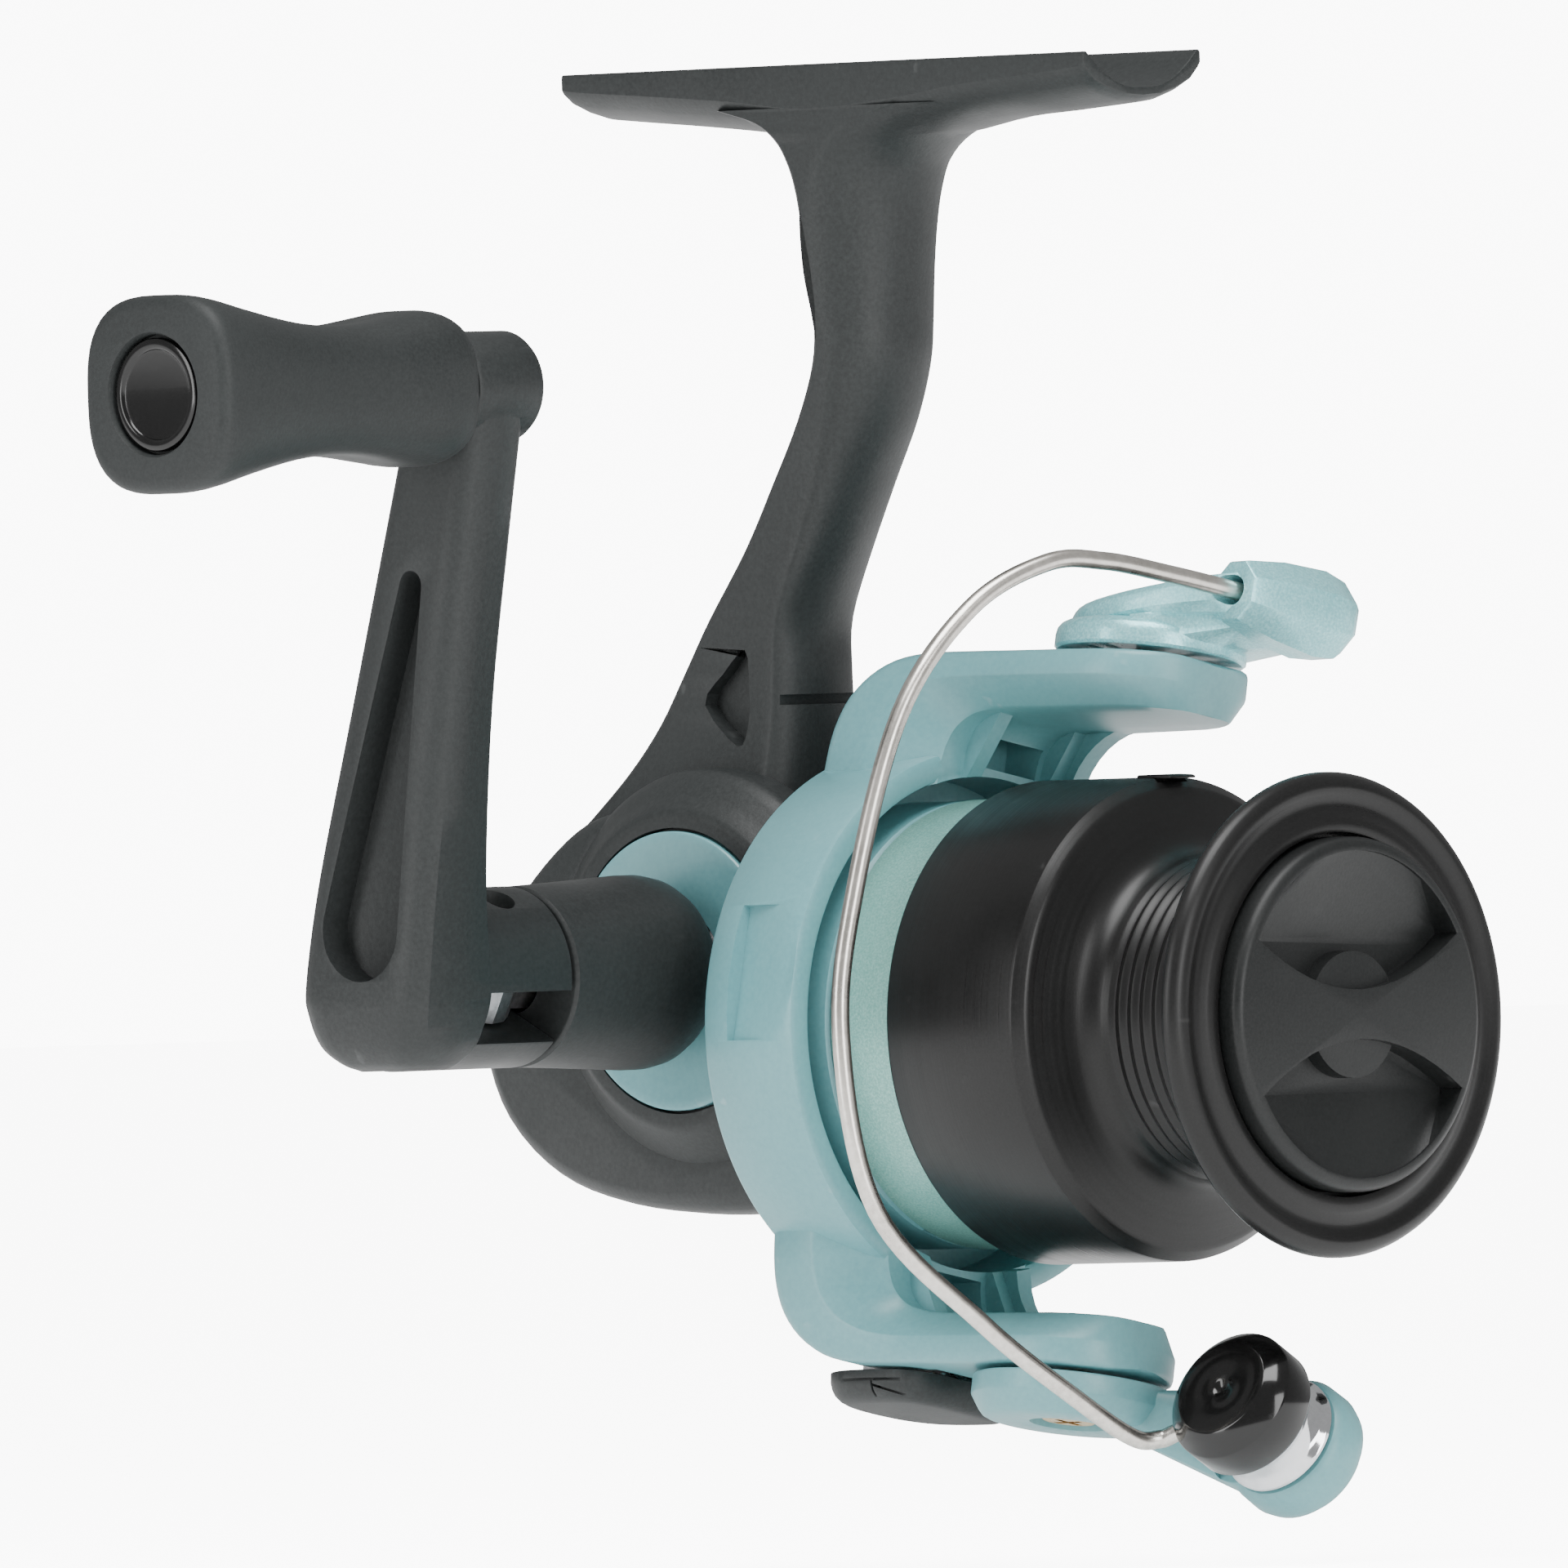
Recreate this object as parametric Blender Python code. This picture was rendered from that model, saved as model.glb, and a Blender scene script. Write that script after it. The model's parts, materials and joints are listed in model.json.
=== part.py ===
"""Spinning fishing reel with a folding crank handle, an opening bail and a front drag.

Every physical piece is one object. The reel frame has +X forward along the spool axis, +Y to the
angler's left and +Z up to the rod, with its origin on the spool axis in the plane of the crank.
"""

import math

import bmesh
import bpy
from mathutils import Matrix, Vector

MM = 0.001
GAP = 0.3  # clearance between touching pieces, mm

# Driving dimensions, mm
SEAT_X = 16.0  # middle of the rod seat ahead of the crank axis
SEAT_Z = 81.0  # rod seat above the spool axis
FOOT_REAR = -15.5
FOOT_FRONT = 47.5
FOOT_HALF = 7.4
SADDLE_DEPTH = 3.2
CRANK_Z = 5.5  # crank axis above the spool axis
BODY_FRONT = 13.2
RING_R = 24.0
RING_REAR = 13.8
RING_FRONT = 24.5
ROTOR_TILT = math.radians(11.5)  # how far the bail arms stand round from upright
BAIL_X = 40.1  # bail pivot ahead of the crank axis
ARM_IN = 26.7
ARM_OUT = 31.5
ARM_END_R = 8.7
SKIRT_R = 21.07
SKIRT_REAR = 33.0
ARBOR_R = 14.0
LIP_X = 66.3
KNOB_FACE_X = 69.8
DRAG_KNOB_R = 15.4
MAIN_SHAFT_R = 1.5
WIRE_R = 0.8
HUB_R = 7.9
PIN_Y = -38.8  # fold pin along the crank axis
PIN_ANGLE = math.radians(62)
GRIP_X = 12.8
GRIP_Z = 51.2  # grip axis above the crank axis
GRIP_END_Y = -88.6


def clear_scene():
    for old in list(bpy.data.objects):
        bpy.data.objects.remove(old, do_unlink=True)


def finish_of(name, colour, roughness, metallic=0.0):
    made = bpy.data.materials.new(name)
    made.use_nodes = True
    shader = made.node_tree.nodes["Principled BSDF"]
    shader.inputs["Base Color"].default_value = (*colour, 1.0)
    shader.inputs["Roughness"].default_value = roughness
    shader.inputs["Metallic"].default_value = metallic
    return made


def axis_empty(name, place=(0, 0, 0), parent=None, turn=None):
    """An empty on a joint's axis, placed in millimetres in its parent's space."""
    empty = bpy.data.objects.new(name, None)
    bpy.context.scene.collection.objects.link(empty)
    empty.empty_display_size = 0.01
    matrix = Matrix.Translation(Vector(place) * MM)
    empty.matrix_basis = matrix @ turn if turn else matrix
    empty.parent = parent
    return empty


def object_from(name, bm, parent, finish=None):
    bmesh.ops.scale(bm, vec=(MM, MM, MM), verts=bm.verts)
    mesh = bpy.data.meshes.new(name)
    bm.to_mesh(mesh)
    bm.free()
    mesh.shade_smooth()
    mesh.set_sharp_from_angle(angle=math.radians(35))
    made = bpy.data.objects.new(name, mesh)
    bpy.context.scene.collection.objects.link(made)
    made.parent = parent
    if finish:
        mesh.materials.append(finish)
    return made


def turned(outline, axis="X", steps=24, bore=False):
    """Spins (along, radius) points round an axis; a bored piece has a closed outline."""
    bm = bmesh.new()
    along_x = axis == "X"
    points = [Vector((a, 0, r)) if along_x else Vector((r, a, 0)) for a, r in outline]
    verts = [bm.verts.new(p) for p in points]
    pairs = list(zip(verts, verts[1:]))
    if bore:
        pairs.append((verts[-1], verts[0]))
    edges = [bm.edges.new(pair) for pair in pairs]
    spin_axis = (1, 0, 0) if along_x else (0, 1, 0)
    bmesh.ops.spin(
        bm, geom=verts + edges, cent=(0, 0, 0), axis=spin_axis, angle=math.tau, steps=steps, use_merge=True
    )
    bmesh.ops.remove_doubles(bm, verts=bm.verts, dist=1e-5)
    bmesh.ops.recalc_face_normals(bm, faces=bm.faces)
    return bm


def ring_of(low, high, inner, outer, axis="X", steps=20):
    return turned([(low, inner), (low, outer), (high, outer), (high, inner)], axis, steps, bore=True)


def rod_of(low, high, radius, axis="X", steps=16):
    return turned([(low, 0), (low, radius), (high, radius), (high, 0)], axis, steps)


def lofted(sections, closed_path=False):
    """Joins rings of equal point counts, with flat ends."""
    bm = bmesh.new()
    rings = [[bm.verts.new(Vector(p)) for p in ring] for ring in sections]
    count = len(rings[0])
    spans = list(zip(rings, rings[1:]))
    if closed_path:
        spans.append((rings[-1], rings[0]))
    for near, far in spans:
        for i in range(count):
            j = (i + 1) % count
            bm.faces.new((near[i], near[j], far[j], far[i]))
    if not closed_path:
        bm.faces.new(rings[0])
        bm.faces.new(rings[-1])
    bmesh.ops.recalc_face_normals(bm, faces=bm.faces)
    return bm


def prism(outline, plane, low, high):
    """Extrudes 2-D points in plane 'XZ', 'XY' or 'YZ' from low to high along the third axis."""
    place = {
        "XZ": lambda p, t: (p[0], t, p[1]),
        "XY": lambda p, t: (p[0], p[1], t),
        "YZ": lambda p, t: (t, p[0], p[1]),
    }[plane]
    return lofted([[place(p, t) for p in outline] for t in (low, high)])


def box(low, high):
    corners = [(low[0], low[1]), (high[0], low[1]), (high[0], high[1]), (low[0], high[1])]
    return prism(corners, "XY", low[2], high[2])


def hull(points):
    bm = bmesh.new()
    for p in points:
        bm.verts.new(Vector(p))
    found = bmesh.ops.convex_hull(bm, input=bm.verts)
    loose = [e for e in found["geom_interior"] + found["geom_unused"] if isinstance(e, bmesh.types.BMVert)]
    bmesh.ops.delete(bm, geom=list(set(loose)), context="VERTS")
    bmesh.ops.recalc_face_normals(bm, faces=bm.faces)
    return bm


def arc(centre, radius, start, end, steps):
    """Points on a circle in 2-D, angles in degrees."""
    angles = [math.radians(start + (end - start) * i / steps) for i in range(steps + 1)]
    return [(centre[0] + radius * math.cos(a), centre[1] + radius * math.sin(a)) for a in angles]


def smooth_path(points, per_span):
    """Points on a Catmull-Rom curve through the given points."""
    route = [Vector(p) for p in points]
    padded = [2 * route[0] - route[1], *route, 2 * route[-1] - route[-2]]
    path = []
    for a, b, c, d in zip(padded, padded[1:], padded[2:], padded[3:]):
        for step in range(per_span):
            t = step / per_span
            bend = (2 * a - 5 * b + 4 * c - d) * t**2 + (3 * b - a - 3 * c + d) * t**3
            path.append(0.5 * (2 * b + (c - a) * t + bend))
    path.append(route[-1])
    return path


def tube(path, radius, sides=8):
    """A round bar along a path, its rings carried along without twist."""
    tangents = [(b - a).normalized() for a, b in zip([path[0], *path[:-1]], [*path[1:], path[-1]])]
    tangents[0] = (path[1] - path[0]).normalized()
    side = tangents[0].orthogonal().normalized()
    rings = []
    for point, tangent in zip(path, tangents):
        side = (side - tangent * side.dot(tangent)).normalized()
        up = tangent.cross(side)
        turns = [math.tau * i / sides for i in range(sides)]
        rings.append([point + radius * (math.cos(a) * side + math.sin(a) * up) for a in turns])
    return lofted(rings)


def boolean(target, bm, operation, label, turn=None):
    """Joins or cuts with a helper shape that stays out of the render."""
    helper = object_from(f"{target.name}_{label}", bm, target.parent)
    if turn:
        helper.matrix_basis = turn
    helper.hide_render = True
    helper.display_type = "WIRE"
    modifier = target.modifiers.new(label, "BOOLEAN")
    modifier.operation = operation
    modifier.object = helper
    modifier.solver = "EXACT"
    return helper


def cut(target, bm, label, turn=None):
    return boolean(target, bm, "DIFFERENCE", label, turn)


def join(target, bm, label, turn=None):
    return boolean(target, bm, "UNION", label, turn)


def gear_outline(root, tip, teeth):
    points = []
    for tooth in range(teeth):
        for share, radius in ((0.0, root), (0.22, tip), (0.5, tip), (0.72, root)):
            angle = math.tau * (tooth + share) / teeth
            points.append((radius * math.cos(angle), radius * math.sin(angle)))
    return points


clear_scene()

GRAPHITE = finish_of("graphite_plastic", (0.032, 0.036, 0.038), 0.5)
TEAL = finish_of("teal_plastic", (0.27, 0.42, 0.45), 0.42)
TEAL_METALLIC = finish_of("teal_metallic_paint", (0.25, 0.5, 0.53), 0.32, 0.4)
SLEEVE_GREEN = finish_of("green_metallic_paint", (0.22, 0.43, 0.39), 0.35, 0.4)
SPOOL_BLACK = finish_of("black_anodised", (0.012, 0.012, 0.013), 0.35)
GLOSS_BLACK = finish_of("gloss_black", (0.01, 0.01, 0.011), 0.12)
SOFT_BLACK = finish_of("soft_black_rubber", (0.02, 0.022, 0.024), 0.6)
STEEL = finish_of("stainless_steel", (0.62, 0.6, 0.57), 0.25, 1.0)
CHROME = finish_of("chrome", (0.75, 0.76, 0.78), 0.1, 1.0)
ZINC = finish_of("die_cast_zinc", (0.45, 0.45, 0.46), 0.42, 1.0)
BRASS = finish_of("brass", (0.7, 0.5, 0.22), 0.3, 1.0)
FELT = finish_of("drag_felt", (0.5, 0.46, 0.36), 0.9)
NYLON = finish_of("white_nylon", (0.75, 0.74, 0.7), 0.5)

REEL = axis_empty("reel_frame", (-SEAT_X, 0, -SEAT_Z))
CRANK = axis_empty("crank_axis", (0, 0, CRANK_Z), REEL)
ROTOR = axis_empty("rotor_axis", (0, 0, 0), REEL, Matrix.Rotation(-ROTOR_TILT, 4, "X"))
BAIL = axis_empty("bail_axis", (BAIL_X, 0, 0), ROTOR)
SPOOL = axis_empty("spool_axis", (0, 0, 0), REEL)


# ---- body: foot, stem and gear case ----

def foot_section(x, side_low, middle_low):
    """A foot cross-section: saddle on top, rounded underside."""
    top = SEAT_Z + SADDLE_DEPTH
    flat_half = 1.1
    saddle = [
        (-FOOT_HALF, top), (-5.2, SEAT_Z + 1.5), (-3.1, SEAT_Z + 0.45), (-flat_half, SEAT_Z),
        (flat_half, SEAT_Z), (3.1, SEAT_Z + 0.45), (5.2, SEAT_Z + 1.5), (FOOT_HALF, top),
    ]
    drop = side_low - middle_low
    under = [
        (FOOT_HALF, side_low), (5.6, side_low - 0.55 * drop), (2.8, side_low - 0.9 * drop),
        (-2.8, side_low - 0.9 * drop), (-5.6, side_low - 0.55 * drop), (-FOOT_HALF, side_low),
    ]
    return [(x, y, z) for y, z in saddle + under]


def stem_section(z, rear, shoulder, nose, half):
    """A stem cross-section: flat back and sides, rounded front."""
    reach = nose - shoulder
    side = [
        (rear, 0.75 * half), (rear + 0.6, half), (shoulder, half),
        (shoulder + 0.62 * reach, 0.8 * half), (nose, 0.3 * half),
    ]
    return [(x, y, z) for x, y in side] + [(x, -y, z) for x, y in reversed(side)]


CASE_OUTLINE = [
    (8.0, -15.8), (-1.0, -16.0), (-11.0, -15.0), (-19.0, -12.4), (-25.0, -7.5), (-28.0, -1.0),
    (-27.4, 5.0), (-24.0, 11.0), (-19.5, 15.6), (-13.0, 21.5), (-8.0, 27.0), (5.1, 27.0), (9.5, 19.0),
    (BODY_FRONT, 13.0), (BODY_FRONT, -13.0),
]
CASE_MIDDLE = (-6.0, 4.0)
CAVITY_OUTLINE = [
    (9.2, -11.4), (-12.0, -11.4), (-17.5, -11.0), (-21.2, -7.6), (-21.2, 4.6), (-14.4, 12.0), (-9.6, 16.6),
    (9.2, 16.6),
]
SCREW_SPOTS = [(-23.4, 0.5), (2.0, -13.0), (-16.2, 14.8)]
COVER_PLANE = 5.2
GUIDE_Z = -7.2


def case_section(y, size):
    mx, mz = CASE_MIDDLE
    return [(mx + (x - mx) * size, y, mz + (z - mz) * size) for x, z in CASE_OUTLINE]


def crank_boss(sign):
    """The raised shoulder round the crank on either side of the case."""
    steps = [(6.0, 0), (6.0, 17.6), (9.3, 17.6), (12.6, 13.6), (12.6, 0)]
    return turned([(sign * y, r) for y, r in steps], "Y", 28)


def make_body():
    levels = ((-9.8, 0.9), (-8.2, 0.98), (-5.5, 1.0), (COVER_PLANE, 1.0))
    near = lofted([case_section(y, size) for y, size in levels])
    body = object_from("body_housing", near, REEL, GRAPHITE)
    at_crank = Matrix.Translation(Vector((0, 0, CRANK_Z)) * MM)
    join(body, crank_boss(-1), "crank_boss", at_crank)
    cut(body, box((BODY_FRONT, -30, -30), (40, 30, 30)), "rotor_room")
    nose = [(8.6, 0), (8.6, 16.6), (16.0, 16.6), (16.0, 11.0), (20.5, 11.0), (20.5, 0)]
    join(body, turned(nose), "front_nose")
    stem = [
        stem_section(22.0, -9.5, 4.8, 6.2, 5.0), stem_section(27.0, -8.5, 5.1, 6.4, 5.1),
        stem_section(36.0, -2.9, 5.3, 6.8, 4.9), stem_section(42.0, 1.7, 8.2, 10.6, 4.8),
        stem_section(47.5, 5.3, 10.9, 13.9, 5.0), stem_section(53.0, 9.0, 13.2, 17.0, 5.6),
        stem_section(58.0, 11.8, 14.3, 18.4, 6.1), stem_section(62.0, 12.3, 14.3, 18.9, 6.5),
        stem_section(68.0, 12.2, 14.1, 19.4, 7.1), stem_section(73.5, 12.0, 14.3, 20.5, 7.3),
        stem_section(77.2, 9.5, 17.2, 24.5, 7.3), stem_section(80.0, 0.0, 25.0, 34.0, 7.2),
    ]
    join(body, lofted(stem), "stem")
    foot = [
        foot_section(FOOT_REAR, 82.3, 79.8), foot_section(-5.0, 81.6, 79.2), foot_section(5.0, 80.8, 78.0),
        foot_section(14.0, 79.6, 76.5), foot_section(24.0, 80.4, 77.5), foot_section(32.0, 81.3, 78.7),
        foot_section(40.0, 82.0, 79.2), foot_section(FOOT_FRONT, 82.6, 79.5),
    ]
    join(body, lofted(foot), "foot")
    cut(body, box((-40, COVER_PLANE, -30), (BODY_FRONT + 8, 30, 20.6)), "cover_room")
    seat = [(8.6, 0), (8.6, 13.0), (16.0, 13.0), (16.0, 10.5), (20.5, 10.5), (20.5, 0)]
    join(body, turned(seat), "clutch_seat")
    cut(body, prism(CAVITY_OUTLINE, "XZ", -8.0, COVER_PLANE + 4), "gear_room")
    cut(body, rod_of(-7, -20, 6.8, "Y", 20), "bearing_bore", at_crank)
    cut(body, rod_of(-11.3, -20, 12.5, "Y", 28), "trim_recess", at_crank)
    cut(body, rod_of(7, 9.3, 3.1), "pinion_bore")
    cut(body, rod_of(9.2, 13.0, 6.3), "pinion_bearing_bore")
    cut(body, rod_of(12.9, 21, 9.4, steps=20), "clutch_bore")
    at_rod = Matrix.Translation(Vector((0, 0, GUIDE_Z)) * MM)
    cut(body, rod_of(-22.8, 10.4, 1.3, steps=10), "guide_rod_bore", at_rod)
    for number, (x, z) in enumerate(SCREW_SPOTS, 1):
        at_screw = Matrix.Translation(Vector((x, 0, z)) * MM)
        cut(body, rod_of(-4.6, 9, 1.2, "Y", 10), f"screw_bore_{number}", at_screw)
    recess = [(-3.0, 29.0), (2.4, 33.6), (2.9, 26.0), (1.6, 24.6)]
    cut(body, prism(recess, "XZ", -8, -3.6), "side_recess")
    return body


def make_side_cover():
    shell = lofted([case_section(COVER_PLANE + GAP, 1.0), case_section(8.2, 0.98), case_section(9.8, 0.9)])
    cover = object_from("side_cover", shell, REEL, GRAPHITE)
    at_crank = Matrix.Translation(Vector((0, 0, CRANK_Z)) * MM)
    join(cover, crank_boss(1), "crank_boss", at_crank)
    cut(cover, box((BODY_FRONT, -30, -30), (40, 30, 30)), "rotor_room")
    cut(cover, box((-40, -30, 20.3), (40, 30, 40)), "stem_room")
    cut(cover, box((-40, -30, -40), (40, COVER_PLANE + GAP, 40)), "parting_face")
    cut(cover, prism(CAVITY_OUTLINE, "XZ", 0, 8.0), "gear_room")
    cut(cover, rod_of(7, 20, 6.8, "Y", 20), "bearing_bore", at_crank)
    nose = turned([(8.0, 0), (8.0, 17.0), (30.0, 17.0), (30.0, 0)], steps=24)
    cut(cover, nose, "nose_room")
    for number, (x, z) in enumerate(SCREW_SPOTS, 1):
        at_screw = Matrix.Translation(Vector((x, 0, z)) * MM)
        cut(cover, rod_of(0, 20, 1.5, "Y", 10), f"screw_bore_{number}", at_screw)
        cut(cover, rod_of(8.4, 20, 2.3, "Y", 12), f"head_seat_{number}", at_screw)
    return cover


def make_cover_screws():
    outline = [(-4.0, 0), (-4.0, 0.9), (8.7, 0.9), (8.7, 2.0), (9.4, 2.0), (9.8, 1.5), (9.8, 0)]
    for number, (x, z) in enumerate(SCREW_SPOTS, 1):
        screw = object_from(f"cover_screw_{number}", turned(outline, "Y", 12), REEL, STEEL)
        screw.matrix_basis = Matrix.Translation(Vector((x, 0, z)) * MM)


# ---- drive train inside the case ----

DRIVE_TEETH = 25
PINION_TEETH = 6
LAY_SMALL_TEETH = 11
LAY_LARGE_TEETH = 22
LAY_GEAR_AT = (-12.0, -1.0)
SLOT_X = -10.5
LAY_PIN_RISE = 4.98  # the pin stands 5.2 from its gear's centre, half the spool's stroke


def make_drive_train():
    drive = object_from("drive_gear", rod_of(-12.4, 11.4, 3.5, "Y", 16), CRANK, ZINC)
    join(drive, prism(gear_outline(8.1, 8.8, DRIVE_TEETH), "XZ", -5.4, -3.6), "face_gear")
    join(drive, prism(gear_outline(3.7, 4.5, LAY_SMALL_TEETH), "XZ", 5.8, 7.4), "lay_pinion")
    cut(drive, rod_of(-20, 20, 2.4, "Y", 16), "shaft_bore")
    pinion = object_from("pinion_gear", rod_of(3.4, 40.0, 2.5), ROTOR, BRASS)
    teeth = prism(gear_outline(2.2, 2.8, PINION_TEETH), "YZ", 3.4, 8.4)
    join(pinion, teeth, "teeth")
    cut(pinion, rod_of(0, 50, 1.8), "shaft_bore")
    bearing = ring_of(9.5, 12.6, 2.8, 6.0)
    object_from("pinion_bearing", bearing, REEL, STEEL)
    object_from("one_way_clutch", ring_of(13.3, 19.6, 2.9, 9.1, steps=24), REEL, ZINC)
    object_from("clutch_retainer", ring_of(20.8, 21.8, 3.4, 10.8, steps=24), REEL, STEEL)
    for name, low in (("near_bearing", -11.0), ("far_bearing", 8.3)):
        ring = ring_of(low, low + 2.6, 3.8, 6.5, "Y")
        object_from(name, ring, CRANK, STEEL)
    lay_axis = axis_empty("lay_gear_axis", (LAY_GEAR_AT[0], 0, LAY_GEAR_AT[1]), REEL)
    plate = prism(gear_outline(8.0, 8.8, LAY_LARGE_TEETH), "XZ", 5.8, 7.4)
    lay = object_from("oscillation_gear", plate, lay_axis, NYLON)
    at_pin = Matrix.Translation(Vector((SLOT_X - LAY_GEAR_AT[0], 0, LAY_PIN_RISE)) * MM)
    join(lay, rod_of(4.4, 6.4, 1.2, "Y", 12), "drive_pin", at_pin)
    slider = object_from("slider_block", box((-13.2, -2.8, -3.0), (-7.4, 2.8, 1.7)), REEL, ZINC)
    join(slider, box((-11.2, -2.0, GUIDE_Z - 2.1), (-7.4, 2.0, -2.0)), "guide_lug")
    join(slider, box((SLOT_X - 1.9, 1.6, -8.4), (SLOT_X + 1.9, 4.1, 5.0)), "fork")
    cut(slider, box((SLOT_X - 1.4, 3.1, -7.4), (SLOT_X + 1.4, 5.0, 9.0)), "fork_slot")
    cut(slider, rod_of(-16.5, 0, MAIN_SHAFT_R + GAP, steps=12), "shaft_bore")
    at_rod = Matrix.Translation(Vector((0, 0, GUIDE_Z)) * MM)
    cut(slider, rod_of(-20, 0, 1.3, steps=10), "rod_bore", at_rod)
    rod = object_from("guide_rod", rod_of(-22.5, 10.1, 1.0, steps=10), REEL, STEEL)
    rod.matrix_basis = at_rod


# ---- rotor with its two bail arms ----

def arm_points(sign):
    """Corner points of an arm's root block, where it leaves the rotor ring."""
    levels = [
        (20.5, 13.9, RING_FRONT, 12.4), (25.0, 14.0, RING_FRONT + 0.6, 11.8),
        (28.4, 15.6, 27.0, 10.8), (30.6, 18.6, 30.0, 9.8), (ARM_OUT, 22.0, 31.0, 9.2),
    ]
    points = []
    for w, rear, front, half in levels:
        for x in (rear, front):
            points += [(x, -half, sign * w), (x, half, sign * w)]
    return points


def arm_outline():
    end = arc((BAIL_X, 0), ARM_END_R, -75, 75, 8)
    return [(20.0, -9.4), (BAIL_X, -ARM_END_R), *end, (BAIL_X, ARM_END_R), (20.0, 9.4)]


def make_rotor():
    outline = [
        (RING_REAR, 23.5), (RING_REAR + 0.5, RING_R), (RING_FRONT, RING_R), (RING_FRONT, 21.6), (17.5, 21.6),
        (17.5, 19.5), (24.6, 19.5), (24.6, 18.6), (36.5, 18.6), (36.5, 2.8), (34.0, 2.8), (34.0, 17.3),
        (RING_REAR, 17.3),
    ]
    rotor = object_from("rotor", turned(outline, steps=32, bore=True), ROTOR, TEAL)
    for sign, side in ((1, "upper"), (-1, "lower")):
        join(rotor, hull(arm_points(sign)), f"{side}_root")
        low, high = sorted((sign * ARM_IN, sign * ARM_OUT))
        join(rotor, prism(arm_outline(), "XY", low, high), f"{side}_arm")
        pivot = arc((BAIL_X, 0), 1.6, 0, 330, 11)
        low, high = sorted((sign * 24.0, sign * 34.0))
        cut(rotor, prism(pivot, "XY", low, high), f"{side}_pivot_bore")
    cut(rotor, ring_of(17.5, 30.0, 19.5, 21.6, steps=32), "groove")
    cut(rotor, box((17.0, -5.5, -33.0), (29.0, 5.5, -28.2)), "spring_pocket")
    wedge = [(16.8, y, w) for y in (-6, 6) for w in (22.7, 26)]
    wedge += [(25.5, y, w) for y in (-6, 6) for w in (24.0, 26)]
    cut(rotor, hull(wedge), "side_recess", Matrix.Rotation(math.radians(88.5), 4, "X"))
    object_from("rotor_sleeve", ring_of(24.9, 37.2, 18.9, 19.6, steps=32), ROTOR, SLEEVE_GREEN)
    nut = [(4.6 * math.cos(math.tau * i / 6), 4.6 * math.sin(math.tau * i / 6)) for i in range(6)]
    made = object_from("rotor_nut", prism(nut, "YZ", 36.8, 39.4), ROTOR, BRASS)
    cut(made, rod_of(30, 45, 2.8, steps=20), "thread_bore")
    cover = [(15.2, -8.3), (28.6, -7.6), (29.6, 0), (28.6, 7.6), (15.2, 8.3), (14.6, 5.0), (14.6, -5.0)]
    lids = [[(x, y, w) for x, y in cover] for w in (-31.8, -33.2)]
    lids.append([(22 + 0.82 * (x - 22), 0.82 * y, -34.4) for x, y in cover])
    object_from("arm_cover", lofted(lids), ROTOR, GRAPHITE)
    turns = 5
    coil = []
    for i in range(turns * 8 + 1):
        angle = math.tau * i / 8
        along = 18.0 + 8.5 * i / (turns * 8)
        coil.append(Vector((along, 2.6 + 1.5 * math.cos(angle), -29.9 + 1.2 * math.sin(angle))))
    object_from("bail_spring", tube(coil, 0.3, 5), ROTOR, STEEL)
    lever_axis = axis_empty("kick_lever_axis", (26.5, -2.4, 0), ROTOR)
    lever = [(-8.6, -0.9), (-8.6, 0.9), (0, 1.2), (1.6, 0), (0, -1.2)]
    object_from("kick_lever", prism(lever, "XY", -31.0, -28.6), lever_axis, ZINC)


# ---- bail, in its own space: X and Y from the pivot, Z along the pivot axis ----

WIRE_POINTS = [
    (12.3, -0.6, 37.0), (12.0, -3.2, 37.2), (10.7, -9.9, 37.4), (9.1, -16.4, 37.4), (7.7, -22.2, 36.2),
    (5.8, -29.0, 31.0), (4.4, -34.8, 20.8), (3.8, -37.4, 4.9), (3.8, -37.2, -8.0), (5.2, -32.0, -22.4),
    (8.2, -20.3, -30.4), (10.6, -10.4, -35.2), (12.0, -4.4, -37.6), (13.0, -2.0, -37.4), (14.2, -1.2, -36.7),
]
ROLLER_FACE = Vector((20.4, -2.8, -33.1))
ROLLER_AXIS = Vector((-0.08, 0.951, -0.296)).normalized()


def along_roller():
    """Turns a piece made along +Y so that it lies along the line roller's axis."""
    turn = Vector((0, 1, 0)).rotation_difference(ROLLER_AXIS).to_matrix().to_4x4()
    return Matrix.Translation(ROLLER_FACE * MM) @ turn


def ring_points(centre, direction, radius, count):
    side = direction.orthogonal().normalized()
    up = direction.cross(side)
    angles = [math.tau * (i + 0.5) / count for i in range(count)]
    return [centre + radius * (math.cos(a) * side + math.sin(a) * up) for a in angles]


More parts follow.
